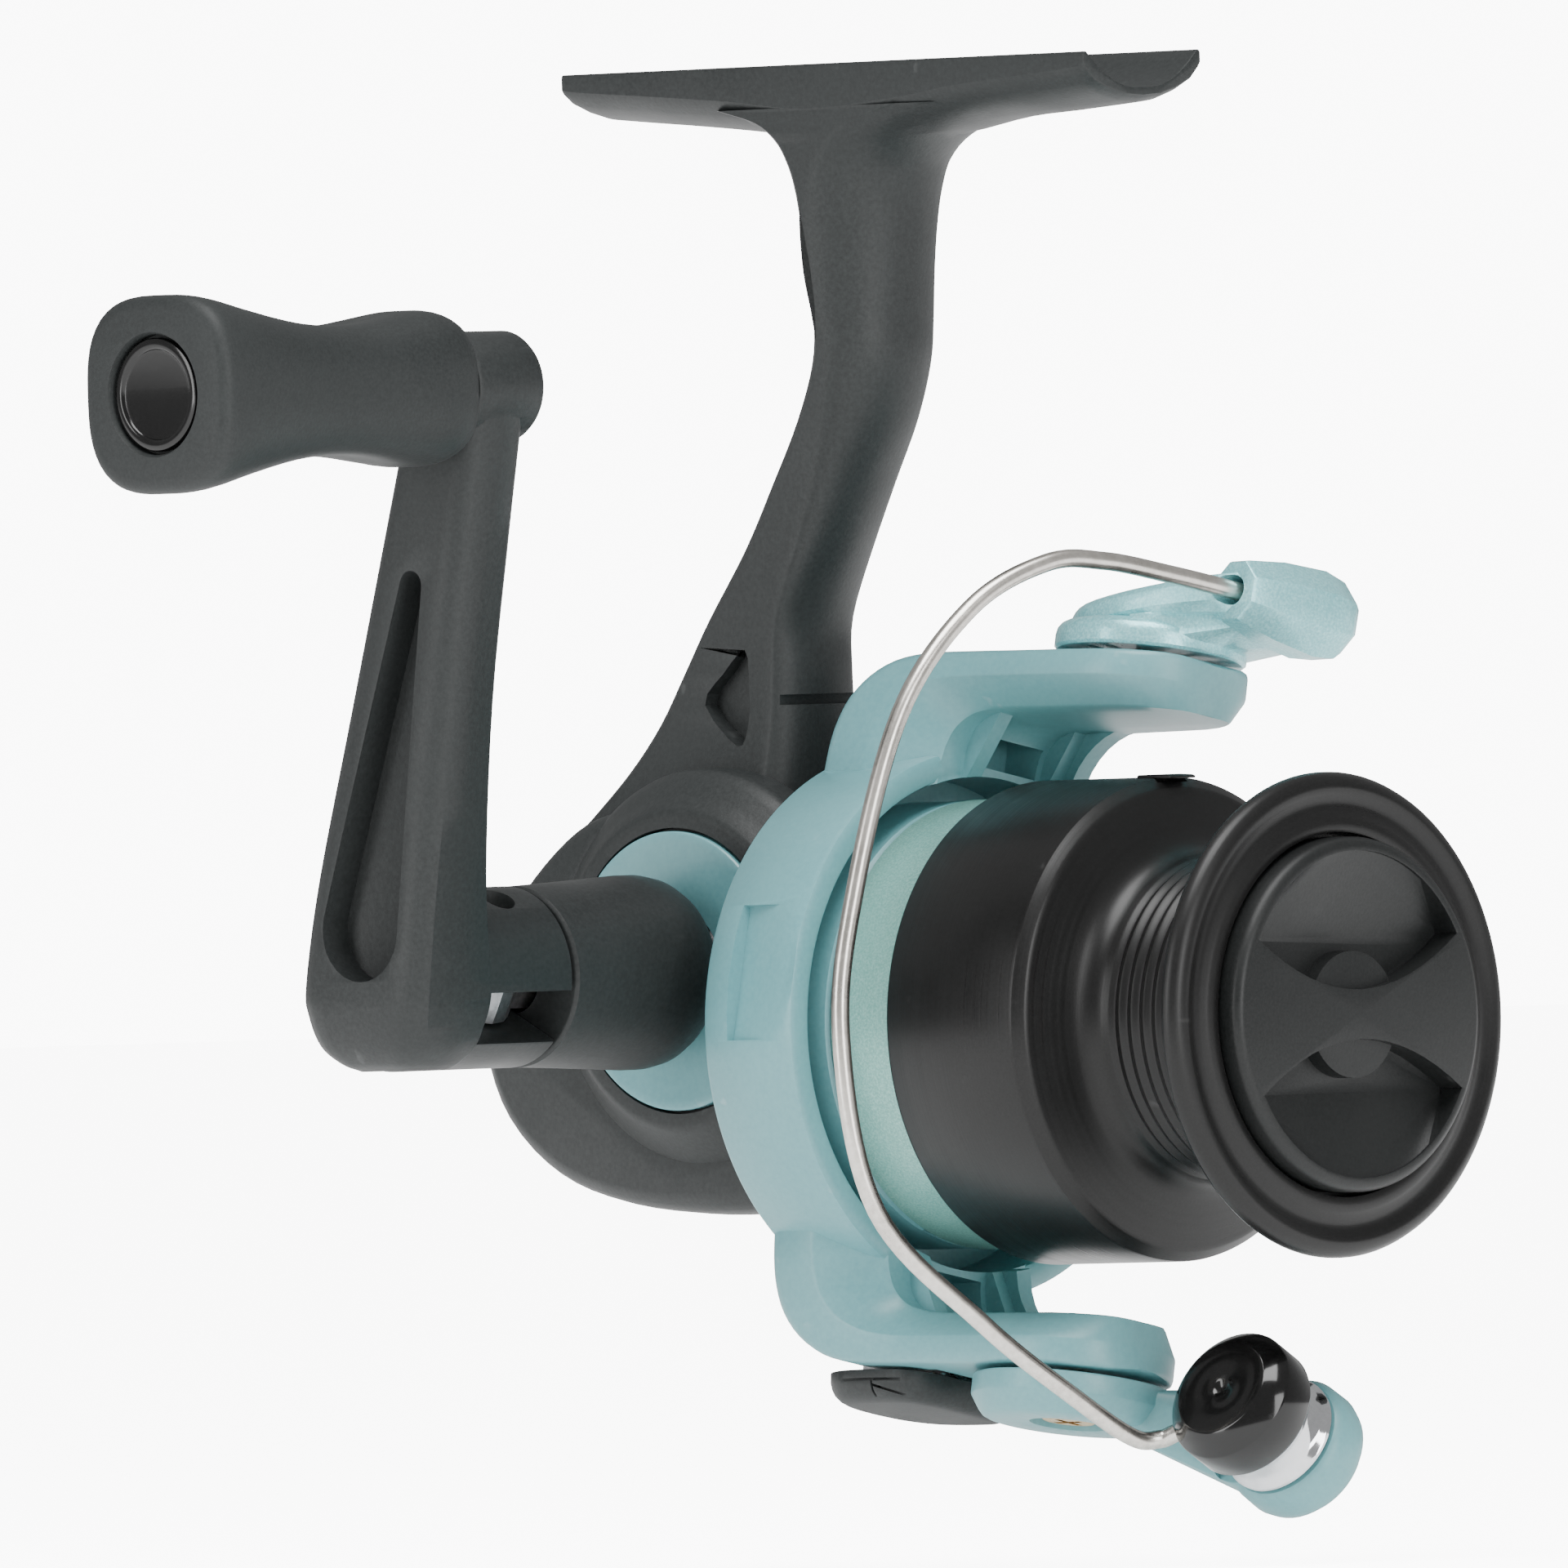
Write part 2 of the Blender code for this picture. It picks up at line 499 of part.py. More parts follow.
def make_bail():
    gap = 0.5
    base = arc((0, 0), 8.4, 0, 337.5, 15)
    plate = [(*p, w) for w in (ARM_OUT + gap, 34.6) for p in base]
    bracket = object_from("bail_bracket", hull(plate), BAIL, TEAL_METALLIC)
    start = Vector((12.0, -3.0, 37.2))
    end = Vector((13.4, 9.5, 36.0))
    run = (end - start).normalized()
    block = []
    for share, radius in ((0.0, 2.9), (0.25, 3.4), (0.6, 4.1), (0.9, 3.9), (1.0, 3.0)):
        block.append(ring_points(start.lerp(end, share), run, radius, 8))
    join(bracket, lofted(block), "wire_block")
    web = [(x, y, w) for x, y in arc((0, 0), 7.6, -60, 60, 4) for w in (33.0, 35.4)]
    web += [(12.0, 0.5, 35.2), (12.0, 8.5, 34.4), (12.6, 8.5, 37.0), (12.0, 0.5, 38.0)]
    join(bracket, hull(web), "web")
    cut(bracket, tube([start - 2 * run, start + 5 * run], WIRE_R + 0.35, 10), "wire_bore")
    cut(bracket, round_pin(30, 40, 1.6), "pivot_bore")
    cut(bracket, round_pin(33.6, 40, 2.9), "head_seat")
    object_from("bail_wire", tube(smooth_path(WIRE_POINTS, 3), WIRE_R, 8), BAIL, STEEL)
    base_low = [(*p, w) for w in (-ARM_OUT - gap, -35.6) for p in arc((0, 0), 8.7, 0, 337.5, 15)]
    arm = object_from("roller_arm", hull(base_low), BAIL, TEAL)
    pad = []
    for t, radius in ((9.7, 5.6), (10.4, 6.1), (13.4, 6.0), (14.8, 4.6)):
        pad.append(ring_points(ROLLER_FACE + t * ROLLER_AXIS, ROLLER_AXIS, radius, 16))
    join(arm, lofted(pad), "end_pad")
    link = [(x, y, w) for x, y in ((4.5, 0.5), (4.5, 7.4), (7.0, 1.5), (7.0, 5.0)) for w in (-33.0, -35.6)]
    for t in (11.0, 13.0):
        link += ring_points(ROLLER_FACE + t * ROLLER_AXIS, ROLLER_AXIS, 5.2, 12)
    join(arm, hull(link), "link")
    cut(arm, round_pin(-50, -30, 1.6), "pivot_bore")
    cut(arm, round_pin(-50, -34.4, 3.1), "head_seat")
    cut(arm, rod_of(-2.0, 9.55, 6.7, "Y", 24), "roller_room", along_roller())
    cut(arm, rod_of(8.0, 12.6, 1.6, "Y", 12), "pin_bore", along_roller())
    screws = (("bracket_screw", 26.9, 33.9, 34.6), ("roller_arm_screw", -34.7, -26.9, -35.4))
    for name, low, high, head in screws:
        screw = object_from(name, round_pin(low, high, 1.3), BAIL, STEEL)
        seat = sorted((head, high if head > 0 else low))
        join(screw, round_pin(seat[0] - 0.1, seat[1], 2.5), "head")
    cap_outline = [(0.0, 0), (0.0, 4.4), (1.3, 6.1), (5.2, 6.1), (5.2, 0)]
    cap = object_from("roller_cap", turned(cap_outline, "Y", 20), BAIL, GLOSS_BLACK)
    cap.matrix_basis = along_roller()
    pin_outline = [(5.5, 0), (5.5, 1.2), (12.3, 1.2), (12.3, 0)]
    pin = object_from("roller_pin", turned(pin_outline, "Y", 12), BAIL, STEEL)
    pin.matrix_basis = along_roller()
    bush = object_from("roller_bush", ring_of(5.7, 9.2, 1.5, 2.5, "Y", 12), BAIL, NYLON)
    bush.matrix_basis = along_roller()
    groove = [(5.6, 2.8), (5.6, 5.2), (6.5, 4.5), (8.1, 4.6), (8.8, 5.4), (9.3, 5.4), (9.3, 2.8)]
    roller = object_from("line_roller", turned(groove, "Y", 24, bore=True), BAIL, CHROME)
    roller.matrix_basis = along_roller()


def round_pin(low, high, radius):
    outline = arc((0, 0), radius, 0, 330, 11)
    return prism(outline, "XY", low, high)


# ---- spool, drag stack and drag knob ----

def make_spool():
    outline = [
        (SKIRT_REAR, 20.75), (SKIRT_REAR + 0.4, SKIRT_R), (48.0, SKIRT_R), (48.9, 20.1), (50.3, 16.4),
        (51.2, 14.8), (52.5, ARBOR_R), (61.8, ARBOR_R), (63.0, 14.7), (64.6, 18.4), (65.3, 20.5),
        (LIP_X, SKIRT_R), (67.2, 20.7), (67.6, 19.7), (67.2, 18.2), (67.8, 16.6), (67.8, 15.75), (65.2, 15.75),
        (65.2, 10.8), (57.0, 10.8),
        (57.0, 1.8), (50.0, 1.8), (50.0, 4.2), (55.0, 4.2), (55.0, 12.2), (47.6, 12.2), (46.6, 20.2),
        (SKIRT_REAR, 20.2),
    ]
    spool = object_from("spool", turned(outline, steps=28, bore=True), SPOOL, SPOOL_BLACK)
    cut(spool, box((45.3, -1.9, 20.6), (49.8, 1.9, 22.0)), "clip_seat")
    clip = [(45.6, 20.9), (45.6, 21.25), (47.9, 21.3), (49.6, 21.15), (49.6, 20.9)]
    object_from("line_clip", prism(clip, "XZ", -1.6, 1.6), SPOOL, SPOOL_BLACK)
    stack = (("drag_washer_1", 57.3, 10.4, FELT), ("metal_washer_1", 58.3, 10.2, STEEL),
             ("drag_washer_2", 59.3, 10.4, FELT), ("metal_washer_2", 60.3, 10.2, STEEL))
    for name, low, outer, finish in stack:
        object_from(name, ring_of(low, low + 0.7, 1.9, outer, steps=20), SPOOL, finish)
    object_from("retaining_ring", ring_of(61.4, 62.0, 8.2, 10.5, steps=20), SPOOL, STEEL)
    shaft = [(-13.3, 0), (-13.3, 1.3), (-12.9, MAIN_SHAFT_R), (67.4, MAIN_SHAFT_R), (67.8, 1.2), (67.8, 0)]
    object_from("main_shaft", turned(shaft, steps=16), SPOOL, STEEL)
    clicks = gear_outline(5.2, 6.0, 12)
    click = object_from("click_gear", prism(clicks, "YZ", 47.9, 49.4), SPOOL, NYLON)
    cut(click, rod_of(40, 60, 1.8, steps=16), "shaft_bore")
    tongue = [(-1.2, 6.5), (1.2, 6.5), (1.8, 9.8), (-1.8, 9.8)]
    pawl = object_from("click_pawl", prism(tongue, "YZ", 48.0, 49.4), SPOOL, NYLON)
    join(pawl, prism([(-0.8, 7.6), (0.8, 7.6), (0.8, 9.2), (-0.8, 9.2)], "YZ", 49.0, 54.7), "post")


def make_drag_knob():
    outline = [
        (68.9, 0), (68.9, 5.0), (62.4, 5.0), (62.4, 6.4), (65.6, 6.4), (65.6, 14.6), (66.2, DRAG_KNOB_R),
        (69.2, DRAG_KNOB_R), (KNOB_FACE_X, 14.9), (KNOB_FACE_X, 0),
    ]
    knob = object_from("drag_knob", turned(outline, steps=32), SPOOL, SOFT_BLACK)
    for middle, side in ((90, "upper"), (270, "lower")):
        scoop = arc((0, 0), 13.2, middle - 78, middle + 78, 8) + arc((0, 0), 6.0, middle + 60, middle - 60, 4)
        cut(knob, prism(scoop, "YZ", 67.6, 72.0), f"{side}_scoop")
    nut = [(4.4 * math.cos(math.tau * i / 6), 4.4 * math.sin(math.tau * i / 6)) for i in range(6)]
    made = object_from("drag_nut", prism(nut, "YZ", 65.2, 67.7), SPOOL, BRASS)
    cut(made, rod_of(60, 70, 1.8, steps=16), "thread_bore")
    turns = 3
    coil = []
    for i in range(turns * 10 + 1):
        angle = math.tau * i / 10
        coil.append(Vector((61.7 + 2.3 * i / (turns * 10), 3.2 * math.cos(angle), 3.2 * math.sin(angle))))
    object_from("drag_spring", tube(coil, 0.3, 5), SPOOL, STEEL)


# ---- crank: collar, shaft, folding arm and grip ----

PIN_LINE = Vector((math.cos(PIN_ANGLE), 0, math.sin(PIN_ANGLE)))


def along_pin(y):
    """Turns a piece made along +X so that it lies along the fold pin."""
    turn = Vector((1, 0, 0)).rotation_difference(PIN_LINE).to_matrix().to_4x4()
    return Matrix.Translation(Vector((0, y, 0)) * MM) @ turn


def make_crank():
    collar = [
        (-33.2, 3.2), (-33.2, HUB_R), (-20.0, 8.5), (-17.0, 8.4), (-14.8, 7.2), (-13.7, 5.2), (-13.7, 3.2),
    ]
    object_from("crank_collar", turned(collar, "Y", 28, bore=True), CRANK, GRAPHITE)
    object_from("trim_ring", ring_of(-13.0, -11.7, 5.6, 12.2, "Y", 32), CRANK, TEAL)
    shaft = turned([(-29.2, 0), (-29.2, 2.9), (-15.0, 2.9), (-14.6, 2.1), (12.4, 2.1), (12.4, 0)], "Y", 16)
    made = object_from("crank_shaft", shaft, CRANK, ZINC)
    join(made, rod_of(-2.2, 2.2, 4.4), "tongue", along_pin(PIN_Y))
    join(made, box((-2.1, 0, -1.9), (2.1, -28.6 - PIN_Y, 1.9)), "tongue_neck", along_pin(PIN_Y))
    cut(made, rod_of(-9, 9, 1.8, steps=12), "pin_bore", along_pin(PIN_Y))
    pin = object_from("fold_pin", rod_of(-7.3, 7.3, 1.5, steps=12), CRANK, STEEL)
    pin.matrix_basis = along_pin(PIN_Y)
    cap = [(13.2, 0), (13.2, 2.4), (11.7, 2.4), (11.7, 5.6), (12.9, 6.2), (17.0, 6.2), (17.6, 5.4), (17.6, 0)]
    object_from("shaft_cap", turned(cap, "Y", 24), CRANK, GRAPHITE)
    make_handle()


def arm_section(z, x, half, outer, inner):
    mid = 0.5 * (outer + inner)
    ring = [
        (x - half, mid), (x - 0.93 * half, outer + 1.6), (x - 0.6 * half, outer), (x + 0.6 * half, outer),
        (x + 0.93 * half, outer + 1.6), (x + half, mid), (x + 0.9 * half, inner - 0.6), (x + 0.6 * half, inner),
        (x - 0.6 * half, inner), (x - 0.9 * half, inner - 0.6),
    ]
    return [(px, py, z) for px, py in ring]


def make_handle():
    hub = turned([(-51.0, 0), (-51.0, 5.6), (-49.0, HUB_R), (-33.6, HUB_R), (-33.6, 0)], "Y", 28)
    arm = object_from("handle_arm", hub, CRANK, GRAPHITE)
    bar = [
        arm_section(-7.8, 0.0, 4.0, -50.2, -44.0), arm_section(-5.5, 0.0, 6.6, -52.2, -43.2),
        arm_section(0.0, 0.3, 7.9, -53.0, -43.0), arm_section(9.0, 2.0, 7.5, -53.0, -44.4),
        arm_section(24.0, 5.8, 6.5, -53.0, -46.0), arm_section(GRIP_Z, GRIP_X, 4.7, -53.0, -46.2),
    ]
    join(arm, lofted(bar), "bar")
    boss = turned([(-53.0, 0), (-53.0, 4.4), (-52.6, 4.8), (-44.8, 4.8), (-44.8, 0)], "Y", 20)
    at_grip = Matrix.Translation(Vector((GRIP_X, 0, GRIP_Z)) * MM)
    join(arm, boss, "grip_boss", at_grip)
    slot = box((-2.5, -43.9, -12.0), (2.5, -30.0, 12.0))
    turn = Matrix.Rotation(-PIN_ANGLE, 4, "Y")
    cut(arm, slot, "clevis_slot", turn)
    cut(arm, rod_of(-9, 9, 1.8, steps=12), "pin_bore", along_pin(PIN_Y))
    relief = prism([(-9.5, -33.0), (-3.0, -33.0), (-9.5, -37.6)], "XY", -9.0, 9.0)
    cut(arm, relief, "fold_relief", Matrix.Rotation(math.radians(28), 4, "Y"))
    pocket = []
    for z, x, half in ((1.5, 0.6, 3.6), (8.0, 1.9, 3.9), (40.0, 9.9, 1.6)):
        pocket.append([(x - half, -55, z), (x + half, -55, z), (x + half, -49.6, z), (x - half, -49.6, z)])
    cut(arm, lofted(pocket), "pocket")
    cut(arm, rod_of(-60, -40, 1.9, "Y", 12), "spindle_bore", at_grip)
    spindle = object_from("grip_spindle", rod_of(-83.0, -45.2, 1.6, "Y", 12), CRANK, STEEL)
    spindle.matrix_basis = at_grip
    grip_axis = axis_empty("grip_axis", (GRIP_X, 0, GRIP_Z), CRANK)
    profile = [
        (-53.4, 4.9), (-54.6, 6.2), (-58.0, 6.9), (-65.0, 6.3), (-72.0, 6.4), (-79.0, 7.6), (-84.0, 8.6),
        (-87.4, 8.7), (GRIP_END_Y, 7.6),
    ]
    rings = []
    for y, half in profile:
        square = []
        for i in range(20):
            angle = math.tau * i / 20
            c, s = math.cos(angle), math.sin(angle)
            reach = half / (abs(c) ** 2.8 + abs(s) ** 2.8) ** (1 / 2.8)
            square.append((reach * c, y, reach * s))
        rings.append(square)
    grip = object_from("handle_grip", lofted(rings), grip_axis, SOFT_BLACK)
    cut(grip, rod_of(-84.0, -50, 1.9, "Y", 12), "spindle_bore")
    cut(grip, rod_of(-95, -87.2, 5.2, "Y", 24), "cap_seat")
    object_from("grip_cap", rod_of(-88.3, -87.5, 4.9, "Y", 24), grip_axis, GRAPHITE)


make_body()
make_side_cover()
make_cover_screws()
make_drive_train()
make_rotor()
make_bail()
make_spool()
make_drag_knob()
make_crank()
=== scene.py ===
import json
import math

import bmesh
import bpy
from mathutils import Matrix, Vector


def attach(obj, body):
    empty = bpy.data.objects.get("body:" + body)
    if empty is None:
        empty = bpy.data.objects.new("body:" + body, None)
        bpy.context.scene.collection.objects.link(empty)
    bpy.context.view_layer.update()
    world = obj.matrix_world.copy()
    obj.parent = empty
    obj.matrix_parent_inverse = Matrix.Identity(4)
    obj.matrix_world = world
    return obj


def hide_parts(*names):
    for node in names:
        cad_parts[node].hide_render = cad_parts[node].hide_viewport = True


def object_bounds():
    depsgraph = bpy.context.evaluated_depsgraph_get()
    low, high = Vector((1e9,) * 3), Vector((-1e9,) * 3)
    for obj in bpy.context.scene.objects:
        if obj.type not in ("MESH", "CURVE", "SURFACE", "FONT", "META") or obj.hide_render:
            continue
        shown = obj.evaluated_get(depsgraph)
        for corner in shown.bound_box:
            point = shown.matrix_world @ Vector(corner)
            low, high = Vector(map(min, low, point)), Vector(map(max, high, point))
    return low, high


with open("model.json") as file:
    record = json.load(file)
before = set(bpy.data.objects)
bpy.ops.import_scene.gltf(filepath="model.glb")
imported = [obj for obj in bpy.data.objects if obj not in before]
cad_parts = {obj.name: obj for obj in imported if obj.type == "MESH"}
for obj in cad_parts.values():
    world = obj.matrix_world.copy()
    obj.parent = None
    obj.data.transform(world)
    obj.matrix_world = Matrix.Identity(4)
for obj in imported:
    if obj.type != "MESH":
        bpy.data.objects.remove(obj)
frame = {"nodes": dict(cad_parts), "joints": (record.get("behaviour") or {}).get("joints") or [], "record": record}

cadLow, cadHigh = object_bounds()
mm = 0.001
jointOf = {joint["name"]: joint for joint in frame["joints"]}

# where each moving part of the reel has its own axis, all read from the frame
crankPoint = Vector(jointOf["crank_turn"]["pos_m"])
spoolHeight = jointOf["rotor_spin"]["pos_m"][2]
pivotPoint = Vector(jointOf["bail_open"]["pos_m"])
pivotLine = Vector(jointOf["bail_open"]["axis"])
gripPoint = Vector(jointOf["grip_spin"]["pos_m"])
foldPoint = Vector(jointOf["handle_fold"]["pos_m"])
foldLine = -Vector(jointOf["handle_fold"]["axis"]).normalized()

reelPlace = Matrix.Translation((crankPoint.x, 0, spoolHeight))
rotorPlace = reelPlace @ Matrix.Rotation(-math.atan2(pivotLine.y, pivotLine.z), 4, "X")
bailPlace = rotorPlace @ Matrix.Translation((pivotPoint.x - crankPoint.x, 0, 0))
crankPlace = Matrix.Translation(crankPoint)
gripPlace = Matrix.Translation((gripPoint.x, 0, gripPoint.z))
pinTurn = Vector((1, 0, 0)).rotation_difference(foldLine).to_matrix().to_4x4()
pinPlace = Matrix.Translation(foldPoint) @ pinTurn

print("frame loaded:", len(frame["nodes"]), "nodes")


def deselect():
    if bpy.context.mode != "OBJECT":
        bpy.ops.object.mode_set(mode="OBJECT")
    bpy.ops.object.select_all(action="DESELECT")


def take(piece):
    deselect()
    piece.select_set(True)
    bpy.context.view_layer.objects.active = piece


def edit(piece):
    take(piece)
    bpy.ops.object.mode_set(mode="EDIT")
    bpy.ops.mesh.select_mode(type="VERT")
    bpy.ops.mesh.select_all(action="SELECT")


def closeUp(piece):
    # doubles merged and faces turned outwards, then back to object mode
    bpy.ops.mesh.select_all(action="SELECT")
    bpy.ops.mesh.remove_doubles(threshold=1e-6)
    bpy.ops.mesh.normals_make_consistent(inside=False)
    bpy.ops.object.mode_set(mode="OBJECT")
    return piece


def firstPoint(name, point):
    deselect()
    bpy.ops.mesh.primitive_plane_add(size=mm)
    piece = bpy.context.object
    piece.name = piece.data.name = name
    edit(piece)
    bpy.ops.mesh.merge(type="CENTER")
    bpy.ops.transform.translate(value=Vector(point) * mm)
    bpy.ops.object.mode_set(mode="OBJECT")
    bpy.ops.object.mode_set(mode="EDIT")  # new points then keep the order that they are drawn in
    return piece


def drawLine(name, points, closed):
    # one vertex extruded from point to point, in mm
    piece = firstPoint(name, points[0])
    for before, after in zip(points, points[1:]):
        step = (Vector(after) - Vector(before)) * mm
        bpy.ops.mesh.extrude_region_move(TRANSFORM_OT_translate={"value": step})
    if closed:
        shape = bmesh.from_edit_mesh(piece.data)
        shape.verts.ensure_lookup_table()
        shape.edges.new((shape.verts[-1], shape.verts[0]))
        bmesh.update_edit_mesh(piece.data)
    return piece


def lathe(name, outline, steps=96, axis="X", closed=True):
    # outline is (along, radius) in mm; an open outline starts and ends on the axis
    if axis == "X":
        points = [(a, 0, r) for a, r in outline]
    elif axis == "Y":
        points = [(r, a, 0) for a, r in outline]
    else:
        points = [(r, 0, a) for a, r in outline]
    line = {"X": (1, 0, 0), "Y": (0, 1, 0), "Z": (0, 0, 1)}[axis]
    piece = drawLine(name, points, closed)
    bpy.ops.mesh.select_all(action="SELECT")
    bpy.ops.mesh.spin(steps=steps, angle=math.tau, center=(0, 0, 0), axis=line)
    return closeUp(piece)


def plate(name, outline, plane, low, high):
    # a flat outline filled and extruded from low to high, in mm
    along = {"XY": (0, 0, 1), "XZ": (0, 1, 0), "YZ": (1, 0, 0)}[plane]
    lift = {
        "XY": lambda a, b: (a, b, low), "XZ": lambda a, b: (a, low, b), "YZ": lambda a, b: (low, a, b),
    }[plane]
    piece = drawLine(name, [lift(a, b) for a, b in outline], closed=True)
    bpy.ops.mesh.select_all(action="SELECT")
    bpy.ops.mesh.edge_face_add()
    rise = Vector(along) * (high - low) * mm
    bpy.ops.mesh.extrude_region_move(TRANSFORM_OT_translate={"value": rise})
    return closeUp(piece)


def block(name, low, high):
    deselect()
    size = [(b - a) * mm for a, b in zip(low, high)]
    middle = [(a + b) / 2 * mm for a, b in zip(low, high)]
    bpy.ops.mesh.primitive_cube_add(size=1, location=middle, scale=size)
    piece = bpy.context.object
    piece.name = piece.data.name = name
    bpy.ops.object.transform_apply(location=True, rotation=True, scale=True)
    return piece


def skin(name, sections):
    # a ring of points extruded from section to section, in mm, with flat ends
    piece = drawLine(name, sections[0], closed=True)
    count = len(sections[0])
    bpy.ops.mesh.select_all(action="SELECT")
    for number, section in enumerate(sections[1:], 1):
        bpy.ops.mesh.extrude_region_move(TRANSFORM_OT_translate={"value": (0, 0, 0)})
        shape = bmesh.from_edit_mesh(piece.data)
        shape.verts.ensure_lookup_table()
        for index, point in enumerate(section):
            shape.verts[number * count + index].co = Vector(point) * mm
        bmesh.update_edit_mesh(piece.data)
    for start in (0, (len(sections) - 1) * count):
        bpy.ops.mesh.select_all(action="DESELECT")
        shape = bmesh.from_edit_mesh(piece.data)
        shape.verts.ensure_lookup_table()
        for index in range(start, start + count):
            shape.verts[index].select_set(True)
        shape.select_flush_mode()
        bmesh.update_edit_mesh(piece.data)
        bpy.ops.mesh.edge_face_add()
    return closeUp(piece)


def wrapAround(name, points):
    # the smallest closed shape round the points
    piece = drawLine(name, points, closed=False)
    bpy.ops.mesh.select_all(action="SELECT")
    bpy.ops.mesh.convex_hull()
    return closeUp(piece)


def applyAll(piece):
    take(piece)
    for modifier in list(piece.modifiers):
        bpy.ops.object.modifier_apply(modifier=modifier.name)


def combine(piece, tool, operation):
    modifier = piece.modifiers.new(operation.lower(), "BOOLEAN")
    modifier.object = tool
    modifier.operation = operation
    modifier.solver = "MANIFOLD"
    applyAll(piece)
    bpy.data.objects.remove(tool, do_unlink=True)
    return piece


def cutAway(piece, tool, place=None):
    if place:
        tool.data.transform(place)
    return combine(piece, tool, "DIFFERENCE")


def joinOn(piece, tool, place=None):
    if place:
        tool.data.transform(place)
    return combine(piece, tool, "UNION")


def softenEdges(piece, width, segments=3, angle=32):
    modifier = piece.modifiers.new("rounded edges", "BEVEL")
    modifier.width = width * mm
    modifier.segments = segments
    modifier.limit_method = "ANGLE"
    modifier.angle_limit = math.radians(angle)
    modifier.use_clamp_overlap = True
    modifier.miter_outer = "MITER_ARC"
    applyAll(piece)
    return piece


def shift(x=0, y=0, z=0):
    return Matrix.Translation(Vector((x, y, z)) * mm)


def settle(piece, place, finish, body, slotName, *nodes, smooth=32):
    piece.data.transform(place)
    piece.data.materials.clear()
    piece.data.materials.append(finish)
    take(piece)
    bpy.ops.object.shade_smooth_by_angle(angle=math.radians(smooth))
    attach(piece, body)
    if nodes:
        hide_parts(*nodes)
    return piece


def arcPoints(centre, radius, start, end, steps):
    angles = [math.radians(start + (end - start) * i / steps) for i in range(steps + 1)]
    return [(centre[0] + radius * math.cos(a), centre[1] + radius * math.sin(a)) for a in angles]


def between(a, b, c, d, t):
    # a smooth curve through b and c
    return 0.5 * (2 * b + (c - a) * t + (2 * a - 5 * b + 4 * c - d) * t**2 + (3 * b - a - 3 * c + d) * t**3)


def smoothRows(rows, perSpan):
    # fills a table of rows with smooth rows between them
    first = [2 * p - q for p, q in zip(rows[0], rows[1])]
    last = [2 * p - q for p, q in zip(rows[-1], rows[-2])]
    padded = [first, *rows, last]
    filled = []
    for a, b, c, d in zip(padded, padded[1:], padded[2:], padded[3:]):
        for step in range(perSpan):
            filled.append([between(*values, step / perSpan) for values in zip(a, b, c, d)])
    filled.append(list(rows[-1]))
    return filled


def smoothLoop(points, perSpan):
    count = len(points)
    filled = []
    for i in range(count):
        corners = [points[(i + k - 1) % count] for k in range(4)]
        for step in range(perSpan):
            filled.append(tuple(between(*values, step / perSpan) for values in zip(*corners)))
    return filled


def newGroup(name, inputs, outputs):
    group = bpy.data.node_groups.new(name, "ShaderNodeTree")
    for label, value in inputs.items():
        socket = group.interface.new_socket(label, in_out="INPUT", socket_type="NodeSocketFloat")
        socket.default_value = value
    for label in outputs:
        group.interface.new_socket(label, in_out="OUTPUT", socket_type="NodeSocketFloat")
    return group


def addNode(tree, kind, **values):
    node = tree.nodes.new(kind)
    for key, value in values.items():
        if key in node.inputs:
            node.inputs[key].default_value = value
        else:
            setattr(node, key, value)
    return node


def addMath(tree, operation, first, second):
    node = tree.nodes.new("ShaderNodeMath")
    node.operation = operation
    for index, value in enumerate((first, second)):
        if isinstance(value, (int, float)):
            node.inputs[index].default_value = value
        else:
            tree.links.new(value, node.inputs[index])
    return node.outputs[0]


def addRange(tree, value, low, high, newLow, newHigh):
    node = tree.nodes.new("ShaderNodeMapRange")
    tree.links.new(value, node.inputs["Value"])
    for label, number in (("From Min", low), ("From Max", high), ("To Min", newLow), ("To Max", newHigh)):
        if isinstance(number, (int, float)):
            node.inputs[label].default_value = number
        else:
            tree.links.new(number, node.inputs[label])
    return node.outputs["Result"]


def surfaceGrainGroup():
    # fine moulded grain: a tone for the colour and a height for the bump
    group = newGroup("surfaceGrain", {"Grains per metre": 2600.0, "Patches per metre": 90.0},
        ("Tone", "Height", "Patch"))
    entry = addNode(group, "NodeGroupInput")
    leave = addNode(group, "NodeGroupOutput")
    place = addNode(group, "ShaderNodeTexCoord")
    fine = addNode(group, "ShaderNodeTexNoise", Detail=3.0, Roughness=0.6)
    patch = addNode(group, "ShaderNodeTexNoise", Detail=4.0, Roughness=0.55)
    dots = addNode(group, "ShaderNodeTexVoronoi")
    for node in (fine, patch, dots):
        group.links.new(place.outputs["Object"], node.inputs["Vector"])
    group.links.new(entry.outputs["Grains per metre"], fine.inputs["Scale"])
    group.links.new(entry.outputs["Grains per metre"], dots.inputs["Scale"])
    group.links.new(entry.outputs["Patches per metre"], patch.inputs["Scale"])
    group.links.new(addRange(group, fine.outputs["Fac"], 0.3, 0.7, 0.0, 1.0), leave.inputs["Tone"])
    height = addMath(group, "ADD", fine.outputs["Fac"], addMath(group, "MULTIPLY", dots.outputs["Distance"],
        0.4))
    group.links.new(height, leave.inputs["Height"])
    group.links.new(addRange(group, patch.outputs["Fac"], 0.3, 0.7, 0.0, 1.0), leave.inputs["Patch"])
    return group


